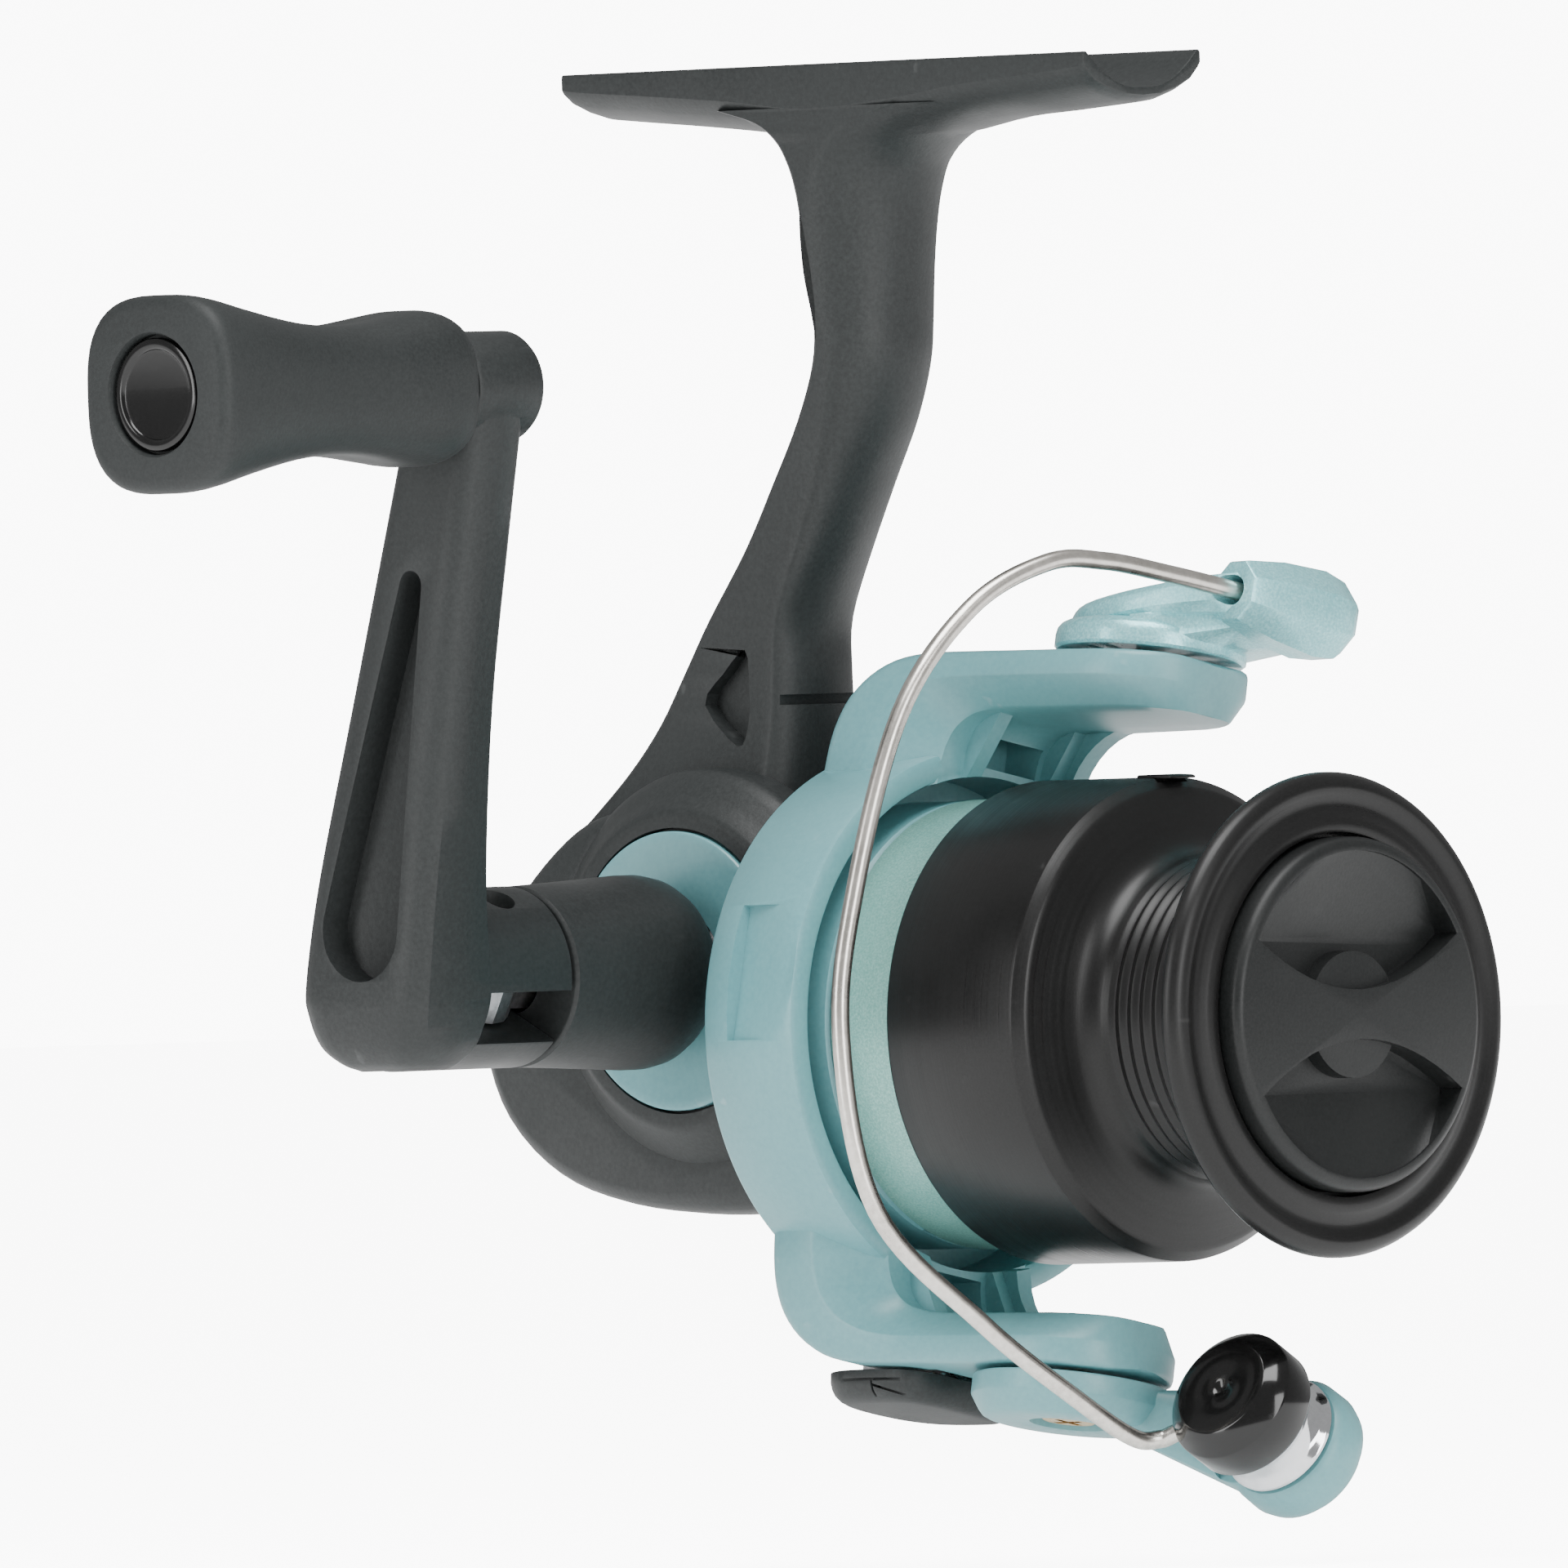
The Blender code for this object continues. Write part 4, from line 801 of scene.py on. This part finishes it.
def makeArmCover():
    corners = [
        (15.2, -2.4), (16.6, -5.9), (20.0, -7.7), (26.4, -7.7), (28.4, -5.0), (28.6, 0.0), (28.4, 5.0),
        (26.4, 7.7), (20.0, 7.7), (16.6, 5.9), (15.2, 2.4),
    ]
    outline = smoothLoop(corners, 4)
    levels = [(-31.8, 1.0), (-32.6, 0.99), (-33.2, 0.965), (-33.7, 0.925), (-34.1, 0.86), (-34.32, 0.79),
        (-34.4, 0.7)]
    lid = skin("armCover", [[(22 + size * (x - 22), size * y, w) for x, y in outline] for w, size in levels])
    for low, high in (((10, -12, -32.75), (40, -7.45, -32.55)), ((23.3, -12, -35), (23.5, -6.9, -32.6))):
        cutAway(lid, block("parting line", low, high))
    slash = block("parting line", (0, -12, -0.1), (7.0, -6.6, 0.1))
    cutAway(lid, slash, shift(23.4, 0, -33.1) @ Matrix.Rotation(math.radians(14), 4, "Y"))
    softenEdges(lid, 0.12, 2, 45)
    return settle(lid, rotorPlace, finishes["graphite_plastic"], "rotor", "graphite_plastic", "arm_cover")


makeRotor()
makeSleeve()
makeArmCover()
print("rotor, sleeve and arm cover made")


wireRoute = [
    (12.3, -0.6, 37.0), (12.0, -3.2, 37.2), (10.7, -9.9, 37.4), (9.1, -16.4, 37.4), (7.7, -22.2, 36.2),
    (5.8, -29.0, 31.0), (4.4, -34.8, 20.8), (3.8, -37.4, 4.9), (3.8, -37.2, -8.0), (5.2, -32.0, -22.4),
    (8.2, -20.3, -30.4), (10.6, -10.4, -35.2), (12.0, -4.4, -37.6), (13.0, -2.0, -37.4), (14.2, -1.2, -36.7),
]
rollerFace = Vector((20.4, -2.8, -33.1))
rollerLocal = Vector((-0.08, 0.951, -0.296)).normalized()


def alongRoller():
    turn = Vector((0, 1, 0)).rotation_difference(rollerLocal).to_matrix().to_4x4()
    return Matrix.Translation(rollerFace * mm) @ turn


def ringRound(centre, direction, radius, count, squash=1.0):
    side = direction.orthogonal().normalized()
    up = direction.cross(side)
    angles = [math.tau * (i + 0.5) / count for i in range(count)]
    return [centre + radius * (math.cos(a) * side + squash * math.sin(a) * up) for a in angles]


def wireAlong(name, route, radius, sides):
    # rings carried along the route without twisting
    path = [Vector(p) for p in route]
    tangents = [(b - a).normalized() for a, b in zip([path[0], *path[:-1]], [*path[1:], path[-1]])]
    tangents[0] = (path[1] - path[0]).normalized()
    side = tangents[0].orthogonal().normalized()
    rings = []
    for point, tangent in zip(path, tangents):
        side = (side - tangent * side.dot(tangent)).normalized()
        up = tangent.cross(side)
        turns = [math.tau * i / sides for i in range(sides)]
        rings.append([point + radius * (math.cos(a) * side + math.sin(a) * up) for a in turns])
    return skin(name, rings)


def makeBracket():
    base = [(32.0, 0.965), (32.25, 1.0), (33.2, 1.0), (33.8, 0.985), (34.2, 0.95), (34.45, 0.9), (34.6, 0.83)]
    disc = [(8.4 * size, w) for w, size in base]
    outline = [(32.0, 0)] + [(w, r) for r, w in disc] + [(34.6, 0)]
    bracket = lathe("bailBracket", outline, 72, "Z", closed=False)
    web = [(x, y, w) for x, y in arcPoints((0, 0), 7.9, -62, 62, 8) for w in (32.6, 34.6)]
    web += [(12.2, 0.4, 34.9), (12.2, 8.7, 34.4), (12.6, 8.7, 36.6), (12.2, 0.4, 37.0)]
    joinOn(bracket, wrapAround("web", web))
    strap = [
        (-7.3, -1.4, 33.5, 1.7, 1.1), (-6.2, -2.8, 34.0, 2.0, 1.3), (-3.4, -4.2, 34.7, 2.2, 1.4),
        (1.0, -4.6, 35.5, 2.3, 1.4),
        (5.4, -3.8, 36.3, 2.3, 1.5), (9.0, -2.5, 36.9, 2.3, 1.7), (12.0, -1.0, 37.2, 2.3, 1.9),
    ]
    rings = []
    for x, y, w, wide, tall in smoothRows(strap, 3):
        corner = [(-1, -0.5), (-1, 0.45), (-0.8, 0.85), (-0.35, 1), (0.35, 1), (0.8, 0.85), (1, 0.45),
            (1, -0.5), (0.7, -1), (-0.7, -1)]
        rings.append([(x - 0.35 * wide * a, y + 0.93 * wide * a, w + tall * b) for a, b in corner])
    joinOn(bracket, skin("strap", rings))
    start, end = Vector((12.0, -3.0, 37.2)), Vector((13.1, 9.2, 36.4))
    run = (end - start).normalized()
    shares = ((0.0, 2.75), (0.03, 2.95), (0.34, 3.75), (0.72, 4.15), (0.92, 3.7), (1.0, 2.9))
    joinOn(bracket, skin("wire block", [ringRound(start.lerp(end, share), run, radius, 8) for share,
        radius in shares]))
    cutAway(bracket, wireAlong("wire bore", [start - 2 * run, start, start + 5 * run], 1.35, 28))
    cutAway(bracket, rodOf("pivot bore", 30, 40, 1.6, "Z"))
    cutAway(bracket, rodOf("head seat", 33.6, 40, 2.9, "Z", 48))
    softenEdges(bracket, 0.2, 3, 30)
    return settle(bracket, bailPlace, finishes["teal_metallic"], "bail", "teal_metallic", "bail_bracket")


def makeWire():
    wire = wireAlong("bailWire", smoothRows(wireRoute, 10), 0.8, 20)
    return settle(wire, bailPlace, finishes["bail_wire_steel"], "bail", "bail_wire_steel", "bail_wire",
        smooth=50)


def makeRollerArm():
    levels = [(-32.0, 0.985), (-32.15, 1.0), (-33.7, 1.0), (-33.85, 0.993), (-35.0, 0.91), (-35.4, 0.87),
        (-35.6, 0.82)]
    disc = [(w, 8.7 * size) for w, size in levels]
    arm = lathe("rollerArm", [(-32.0, 0), *disc, (-35.6, 0)], 72, "Z", closed=False)
    pad = []
    for t, radius in ((9.7, 5.4), (9.9, 5.7), (10.5, 6.05), (12.6, 6.1), (13.6, 5.8), (14.4, 5.1),
        (14.8, 4.3)):
        pad.append(ringRound(rollerFace + t * rollerLocal, rollerLocal, radius, 48))
    joinOn(arm, skin("end pad", pad))
    link = [(x, y, w) for x, y in ((3.0, 0.0), (3.0, 8.0), (7.0, 1.2), (7.0, 5.2)) for w in (-32.6, -35.4)]
    for t in (10.8, 13.2):
        link += ringRound(rollerFace + t * rollerLocal, rollerLocal, 5.3, 32)
    joinOn(arm, wrapAround("link", link))
    cutAway(arm, rodOf("pivot bore", -50, -30, 1.6, "Z"))
    cutAway(arm, lathe("head seat", [(-50, 0), (-50, 3.6), (-35.2, 3.4), (-34.4, 3.1), (-34.4, 0)], 48, "Z",
        closed=False))
    cutAway(arm, rodOf("roller room", -2.0, 9.55, 6.7, "Y", 64), alongRoller())
    cutAway(arm, rodOf("pin bore", 8.0, 12.6, 1.6, "Y", 24), alongRoller())
    softenEdges(arm, 0.18, 2, 40)
    return settle(arm, bailPlace, finishes["teal_plastic"], "bail", "teal_plastic", "roller_arm")


def makeBailScrews():
    for name, low, high, head, slotName, node in (
        ("bracketScrew", 26.9, 33.9, 34.6, "stainless_steel", "bracket_screw"),
        ("rollerArmScrew", -26.9, -34.7, -35.4, "brass", "roller_arm_screw"),
    ):
        side = 1 if head > 0 else -1
        outline = [
            (low, 0), (low, 1.1), (low + side * 0.3, 1.3), (high, 1.3), (high, 2.4), (high + side * 0.1, 2.5),
            (head - side * 0.25, 2.5), (head - side * 0.05, 2.2), (head, 1.7), (head, 0),
        ]
        screw = lathe(name, outline, 48, "Z", closed=False)
        flip = Matrix.Identity(4) if side > 0 else Matrix.Rotation(math.pi, 4, "X")
        cutAway(screw, crossCut(1.5, 0.45, abs(head)), flip)
        settle(screw, bailPlace, finishes[slotName], "bail", slotName, node)


def makeRoller():
    outline = [
        (0.35, 0), (0.33, 0.35), (0.1, 0.75), (0.0, 1.0), (0.0, 4.3), (0.06, 4.5), (1.45, 6.0), (1.65, 6.1),
        (4.8, 6.1), (5.1, 5.95), (5.2, 5.7), (5.2, 0),
    ]
    cap = lathe("rollerCap", outline, 96, "Y", closed=False)
    settle(cap, bailPlace @ alongRoller(), finishes["gloss_black"], "bail", "gloss_black", "roller_cap")
    groove = [
        (5.6, 2.8), (5.6, 5.1), (5.7, 5.2), (5.85, 5.15), (6.2, 4.8), (6.6, 4.55), (7.2, 4.5), (8.0, 4.6),
        (8.5, 4.95), (8.8, 5.3), (8.95, 5.4), (9.2, 5.4), (9.3, 5.3), (9.3, 2.8),
    ]
    roller = lathe("lineRoller", groove, 96, "Y")
    settle(roller, bailPlace @ alongRoller(), finishes["chrome"], "line_roller", "chrome", "line_roller")


makeBracket()
makeWire()
makeRollerArm()
makeBailScrews()
makeRoller()
print("bail bracket, wire, roller arm and roller made")


spoolValues = {"skirt": 21.07, "rear": 33.0, "arbor": 14.0, "ridges": 6, "ridgeHeight": 0.16}
knobValues = {"face": 69.8, "radius": 15.4, "barHalf": 2.15, "barFlare": 4.6, "scoopRadius": 14.2}


def makeSpool():
    skirt, rear, arbor = spoolValues["skirt"], spoolValues["rear"], spoolValues["arbor"]
    ridges = []
    for step in range(spoolValues["ridges"] * 6 + 1):
        x = 52.9 + 8.6 * step / (spoolValues["ridges"] * 6)
        ridges.append((x, arbor + spoolValues["ridgeHeight"] * math.cos(math.tau * step / 6)))
    outline = [
        (rear, 20.2), (rear, 20.75), (rear + 0.12, 20.95), (rear + 0.4, skirt), (47.7, skirt), (48.0, 21.0),
        (48.15, 20.85), (48.75, 20.3), (48.9, 20.1), (49.0, 19.8), (50.1, 16.9), (50.5, 16.0), (51.0, 15.1),
        (51.7, 14.5), (52.4, 14.2), *ridges, (62.2, 14.2), (62.9, 14.7), (63.4, 15.6), (64.6, 18.4),
        (65.1, 19.7), (65.35, 20.4), (65.7, 20.85), (66.1, 21.05), (66.5, 21.05), (66.95, 20.85),
        (67.3, 20.5), (67.55, 20.0), (67.6, 19.6), (67.45, 19.1), (67.3, 18.7), (67.25, 18.2),
        (67.35, 17.7), (67.65, 17.2), (67.8, 16.8), (67.8, 16.1), (67.7, 15.8), (67.4, 15.75), (65.2, 15.75),
        (65.2, 10.8), (57.0, 10.8), (57.0, 1.8), (50.0, 1.8), (50.0, 4.2), (55.0, 4.2), (55.0, 12.2),
        (47.6, 12.2), (46.6, 20.2),
    ]
    spool = lathe("spoolBody", outline, 176, "X")
    cutAway(spool, block("clip seat", (45.3, -1.9, 20.6), (49.8, 1.9, 22.0)))
    settle(spool, reelPlace, finishes["black_anodised"], "spool", "black_anodised", "spool", smooth=24)
    clip = [(45.6, 20.9), (45.6, 21.2), (45.8, 21.28), (47.9, 21.3), (49.3, 21.22), (49.6, 21.1),
        (49.6, 20.9)]
    tab = softenEdges(plate("lineClip", clip, "XZ", -1.6, 1.6), 0.06, 2, 40)
    settle(tab, reelPlace, finishes["black_anodised"], "spool", "black_anodised", "line_clip")


def scoopOutline(side):
    # the space between the knob's rim and its bow-tie bar, as (y, z)
    bar, flare, rim = knobValues["barHalf"], knobValues["barFlare"], knobValues["scoopRadius"]
    edge = []
    for step in range(-8, 9):
        y = step / 8 * 12.6
        edge.append((y, side * (bar + flare * (y / 12.6) ** 2)))
    start = math.degrees(math.atan2(abs(edge[-1][1]), edge[-1][0]))
    arc = arcPoints((0, 0), rim, side * start, side * (180 - start), 24)
    return edge, arc


def makeKnob():
    face, radius = knobValues["face"], knobValues["radius"]
    outline = [
        (68.45, 0), (68.45, 5.0), (62.4, 5.0), (62.4, 6.4), (65.6, 6.4), (65.6, 14.5), (65.75, 14.9),
        (66.1, 15.25), (66.5, radius), (68.9, radius), (69.3, 15.3), (69.65, 15.0), (face, 14.6), (face, 0),
    ]
    knob = lathe("dragKnob", outline, 144, "X", closed=False)
    for side in (1, -1):
        edge, arc = scoopOutline(side)
        deep = [(67.2, y, z) for y, z in edge]
        shallow = [(69.5, y, z) for y, z in arc]
        above = [(72.0, y, z) for y, z in edge + arc]
        scoop = plate("scoop", edge + arc, "YZ", 66.0, 73.0)
        combine(scoop, wrapAround("scoop floor", deep + shallow + above), "INTERSECT")
        cutAway(scoop, rodOf("boss", 60.0, 68.9, 5.5, steps=72))
        cutAway(knob, scoop)
    softenEdges(knob, 0.24, 3, 30)
    return settle(knob, reelPlace, finishes["satin_black"], "drag_knob", "satin_black", "drag_knob")


makeSpool()
makeKnob()
print("spool and drag knob made")


handleValues = {"pin": -38.8, "pinAngle": 62, "gripX": 12.8, "gripZ": 51.2}


def makeCollar():
    outline = [
        (-33.2, 3.2), (-33.2, 7.6), (-32.9, 7.9), (-28.0, 8.1), (-20.0, 8.5), (-18.0, 8.5), (-16.6, 8.25),
        (-15.5, 7.7), (-14.6, 6.9), (-14.0, 6.0), (-13.7, 5.2), (-13.7, 3.2),
    ]
    collar = lathe("crankCollar", outline, 96, "Y")
    softenEdges(collar, 0.12, 2, 45)
    settle(collar, crankPlace, finishes["graphite_plastic"], "crank", "graphite_plastic", "crank_collar")
    cap = [
        (13.2, 0), (13.2, 2.4), (11.7, 2.4), (11.7, 5.6), (12.6, 6.1), (13.0, 6.2), (16.8, 6.2), (17.2, 6.05),
        (17.5, 5.7), (17.6, 5.3), (17.6, 0),
    ]
    end = lathe("shaftCap", cap, 96, "Y", closed=False)
    for count in range(12):
        turn = Matrix.Rotation(math.tau * count / 12, 4, "Y")
        cutAway(end, rodOf("finger flute", 12.0, 19.0, 0.7, "Y", 16), turn @ shift(6.45))
    cutAway(end, block("coin slot", (-3.8, 16.9, -0.6), (3.8, 19, 0.6)))
    softenEdges(end, 0.1, 2, 45)
    settle(end, crankPlace, finishes["graphite_plastic"], "crank", "graphite_plastic", "shaft_cap")


def barSection(z, x, half, outer, inner):
    middle = 0.5 * (outer + inner)
    side = [
        (0.0, outer), (0.5, outer), (0.68, outer + 0.12), (0.84, outer + 0.6), (0.95, outer + 1.5),
        (1.0, middle),
        (0.97, inner - 1.2), (0.86, inner - 0.4), (0.66, inner - 0.05), (0.4, inner), (0.0, inner),
    ]
    return [(x + half * a, y, z) for a, y in side] + [(x - half * a, y, z) for a, y in side[-2:0:-1]]


def makeHandle():
    hub = [(-51.0, 0), (-51.0, 5.4), (-50.4, 6.6), (-49.4, 7.5), (-48.4, 7.9), (-33.9, 7.9), (-33.6, 7.6),
        (-33.6, 0)]
    arm = lathe("handleArm", hub, 96, "Y", closed=False)
    rows = [
        (-7.8, 0.0, 3.6, -49.8, -44.2), (-7.1, 0.0, 4.9, -51.1, -43.8), (-5.5, 0.0, 6.6, -52.2, -43.2),
        (-2.8, 0.1, 7.6, -52.85, -43.0), (0.0, 0.3, 7.9, -53.0, -43.0), (9.0, 2.0, 7.5, -53.0, -44.4),
        (24.0, 5.8, 6.4, -53.0, -45.8), (38.0, 9.4, 5.5, -53.0, -46.1), (50.8, 12.7, 4.7, -53.0, -46.2),
    ]
    joinOn(arm, skin("bar", [barSection(*row) for row in smoothRows(rows, 5)]))
    atGrip = shift(handleValues["gripX"], 0, handleValues["gripZ"])
    boss = [(-53.0, 0), (-53.0, 4.3), (-52.85, 4.65), (-52.4, 4.85), (-45.3, 4.85), (-44.9, 4.6),
        (-44.8, 4.2), (-44.8, 0)]
    joinOn(arm, lathe("grip boss", boss, 64, "Y", closed=False), atGrip)
    turn = Matrix.Rotation(-math.radians(handleValues["pinAngle"]), 4, "Y")
    cutAway(arm, block("clevis slot", (-2.5, -43.9, -12.0), (2.5, -30.0, 12.0)), turn)
    cutAway(arm, rodOf("pin bore", -9, 9, 1.8, steps=32), shift(0, handleValues["pin"], 0) @ turn)
    relief = plate("fold relief", [(-9.5, -33.0), (-3.0, -33.0), (-9.5, -37.6)], "XY", -9.0, 9.0)
    cutAway(arm, relief, Matrix.Rotation(math.radians(28), 4, "Y"))
    lower, upper = (0.9, 4.5, 4.5), (8.4, 34.2, 1.3)  # middle x, middle z and radius of the pocket's ends
    pocket = arcPoints(lower[:2], lower[2], 166, 346, 14) + arcPoints(upper[:2], upper[2], -14, 166, 10)
    cutAway(arm, plate("pocket", pocket, "XZ", -55, -49.8))
    cutAway(arm, rodOf("spindle bore", -60, -40, 1.9, "Y", 24), atGrip)
    softenEdges(arm, 0.22, 2, 42)
    settle(arm, crankPlace, finishes["graphite_plastic"], "handle", "graphite_plastic", "handle_arm")
    pinOutline = [(-6.2, 0), (-6.2, 1.2), (-5.9, 1.5), (5.9, 1.5), (6.2, 1.2), (6.2, 0)]
    pin = lathe("foldPin", pinOutline, 40, "X", closed=False)
    settle(pin, pinPlace, finishes["stainless_steel"], "crank_draw", "stainless_steel", "fold_pin")


def gripSection(y, half, flute):
    ring = []
    for step in range(64):
        a = math.tau * step / 64
        c, s = math.cos(a), math.sin(a)
        reach = half / (abs(c) ** 2.9 + abs(s) ** 2.9) ** (1 / 2.9)
        for middle in (90, 270):  # the thumb and finger scoops
            away = (math.degrees(a) - middle) / 34
            reach *= 1 - flute * math.exp(-(away**2))
        ring.append((reach * c, y, reach * s))
    return ring


def makeGrip():
    rows = [
        (-53.4, 4.7, 0.0), (-53.6, 5.1, 0.0), (-54.4, 5.9, 0.0), (-56.0, 6.6, 0.0), (-58.0, 6.9, 0.02),
        (-61.0, 6.75, 0.07), (-65.0, 6.4, 0.12), (-69.0, 6.3, 0.14), (-73.0, 6.6, 0.15), (-77.0, 7.25, 0.15),
        (-81.0, 8.0, 0.12), (-84.0, 8.5, 0.07), (-86.0, 8.7, 0.03), (-87.4, 8.66, 0.01), (-88.05, 8.35, 0.0),
        (-88.42, 7.9, 0.0), (-88.6, 7.3, 0.0),
    ]
    grip = skin("handleGrip", [gripSection(*row) for row in smoothRows(rows, 3)])
    cutAway(grip, rodOf("spindle bore", -84.0, -50, 1.9, "Y", 32))
    cutAway(grip, lathe("cap seat", [(-95, 0), (-95, 5.6), (-88.6, 5.4), (-88.2, 5.2), (-87.2, 5.2),
        (-87.2, 0)], 72, "Y", closed=False))
    settle(grip, gripPlace, finishes["soft_rubber"], "grip", "soft_rubber", "handle_grip", smooth=40)
    outline = [
        (-87.5, 0), (-87.5, 4.9), (-88.0, 4.9), (-88.2, 4.8), (-88.3, 4.55), (-88.3, 4.15), (-88.2, 3.95),
        (-88.05, 3.85), (-88.0, 3.6), (-88.0, 0),
    ]
    cap = lathe("gripCap", outline, 72, "Y", closed=False)
    settle(cap, gripPlace, finishes["gloss_black"], "grip", "gloss_black", "grip_cap")


makeCollar()
makeHandle()
makeGrip()
print("crank, handle and grip made")


for entry in frame["record"]["subparts"]:
    node = frame["nodes"][entry["node"]]
    if node.hide_render:
        continue
    node.data.materials.clear()
    node.data.materials.append(finishes[entry["material_slot"]])
print("inner parts given their finishes")


studio = {
    "floorDrop": 4.0, "floorSize": 14.0, "distance": 4286.0, "lens": 1125.0, "bearing": 46.3, "roll": 1.85,
    "aim": (-15.1, 0.84, -59.5), "fill": 0.42, "bounce": 0.9, "backdrop": 10.0,
}


def makeFloor():
    deselect()
    bpy.ops.mesh.primitive_plane_add(size=studio["floorSize"],
        location=(0, 0, cadLow[2] - studio["floorDrop"] * mm))
    floor = bpy.context.object
    floor.name = "studioFloor"
    edit(floor)
    bpy.ops.mesh.subdivide(number_cuts=6)
    bpy.ops.object.mode_set(mode="OBJECT")
    paper = bpy.data.materials.new("pale studio paper")
    paper.use_nodes = True
    tree = paper.node_tree
    shader = tree.nodes["Principled BSDF"]
    shader.inputs["Roughness"].default_value = 0.85
    shader.inputs["Specular IOR Level"].default_value = 0.1
    fibre = addNode(tree, "ShaderNodeTexNoise", Scale=900.0, Detail=3.0)
    place = addNode(tree, "ShaderNodeTexCoord")
    tree.links.new(place.outputs["Object"], fibre.inputs["Vector"])
    colour = mixColour(tree, fibre.outputs["Fac"], (0.86, 0.86, 0.86), (0.9, 0.9, 0.9))
    tree.links.new(colour, shader.inputs["Base Color"])
    tree.links.new(colour, shader.inputs["Emission Color"])
    seen = addNode(tree, "ShaderNodeLightPath").outputs["Is Camera Ray"]
    strength = addRange(tree, seen, 0.0, 1.0, studio["bounce"], studio["backdrop"])
    tree.links.new(strength, shader.inputs["Emission Strength"])
    floor.data.materials.append(paper)


def makeLight(name, place, size, power, tall=None):
    # a soft panel that faces the middle of the reel
    data = bpy.data.lights.new(name, "AREA")
    data.shape = "RECTANGLE"
    data.size, data.size_y = size, tall or size
    data.energy = power
    light = bpy.data.objects.new(name, data)
    bpy.context.scene.collection.objects.link(light)
    target = Vector(studio["aim"]) * mm
    light.location = Vector(place)
    light.rotation_euler = (target - Vector(place)).to_track_quat("-Z", "Y").to_euler()
    return light


def makeCamera():
    bearing, roll = math.radians(studio["bearing"]), math.radians(studio["roll"])
    toward = Vector((math.cos(bearing), -math.sin(bearing), 0))
    right = Vector((math.sin(bearing), math.cos(bearing), 0))
    up = Vector((0, 0, 1))
    cameraRight = right * math.cos(roll) - up * math.sin(roll)
    cameraUp = right * math.sin(roll) + up * math.cos(roll)
    data = bpy.data.cameras.new("productCamera")
    data.lens = studio["lens"]
    data.sensor_width = 36.0
    data.clip_start, data.clip_end = 0.05, 60.0
    camera = bpy.data.objects.new("productCamera", data)
    bpy.context.scene.collection.objects.link(camera)
    turn = Matrix((cameraRight, cameraUp, toward)).transposed().to_4x4()
    place = Vector(studio["aim"]) * mm + toward * studio["distance"] * mm
    camera.matrix_world = Matrix.Translation(place) @ turn
    bpy.context.scene.camera = camera


def makeWorld():
    world = bpy.data.worlds.new("softStudio")
    world.use_nodes = True
    tree = world.node_tree
    background = tree.nodes["Background"]
    background.inputs["Color"].default_value = (1.0, 1.0, 1.0, 1.0)
    seen = addNode(tree, "ShaderNodeLightPath").outputs["Is Camera Ray"]
    strength = addRange(tree, seen, 0.0, 1.0, studio["fill"], studio["backdrop"])
    tree.links.new(strength, background.inputs["Strength"])
    bpy.context.scene.world = world


makeFloor()
makeLight("topSoftbox", (0.25, -0.25, 0.95), 0.7, 17.0)
makeLight("frontSoftbox", (1.15, -0.35, 0.15), 0.35, 8.0, 0.9)
makeLight("sideSoftbox", (-0.35, -1.25, 0.2), 0.35, 7.0, 0.9)
makeCamera()
makeWorld()
print("floor, lights and camera placed")
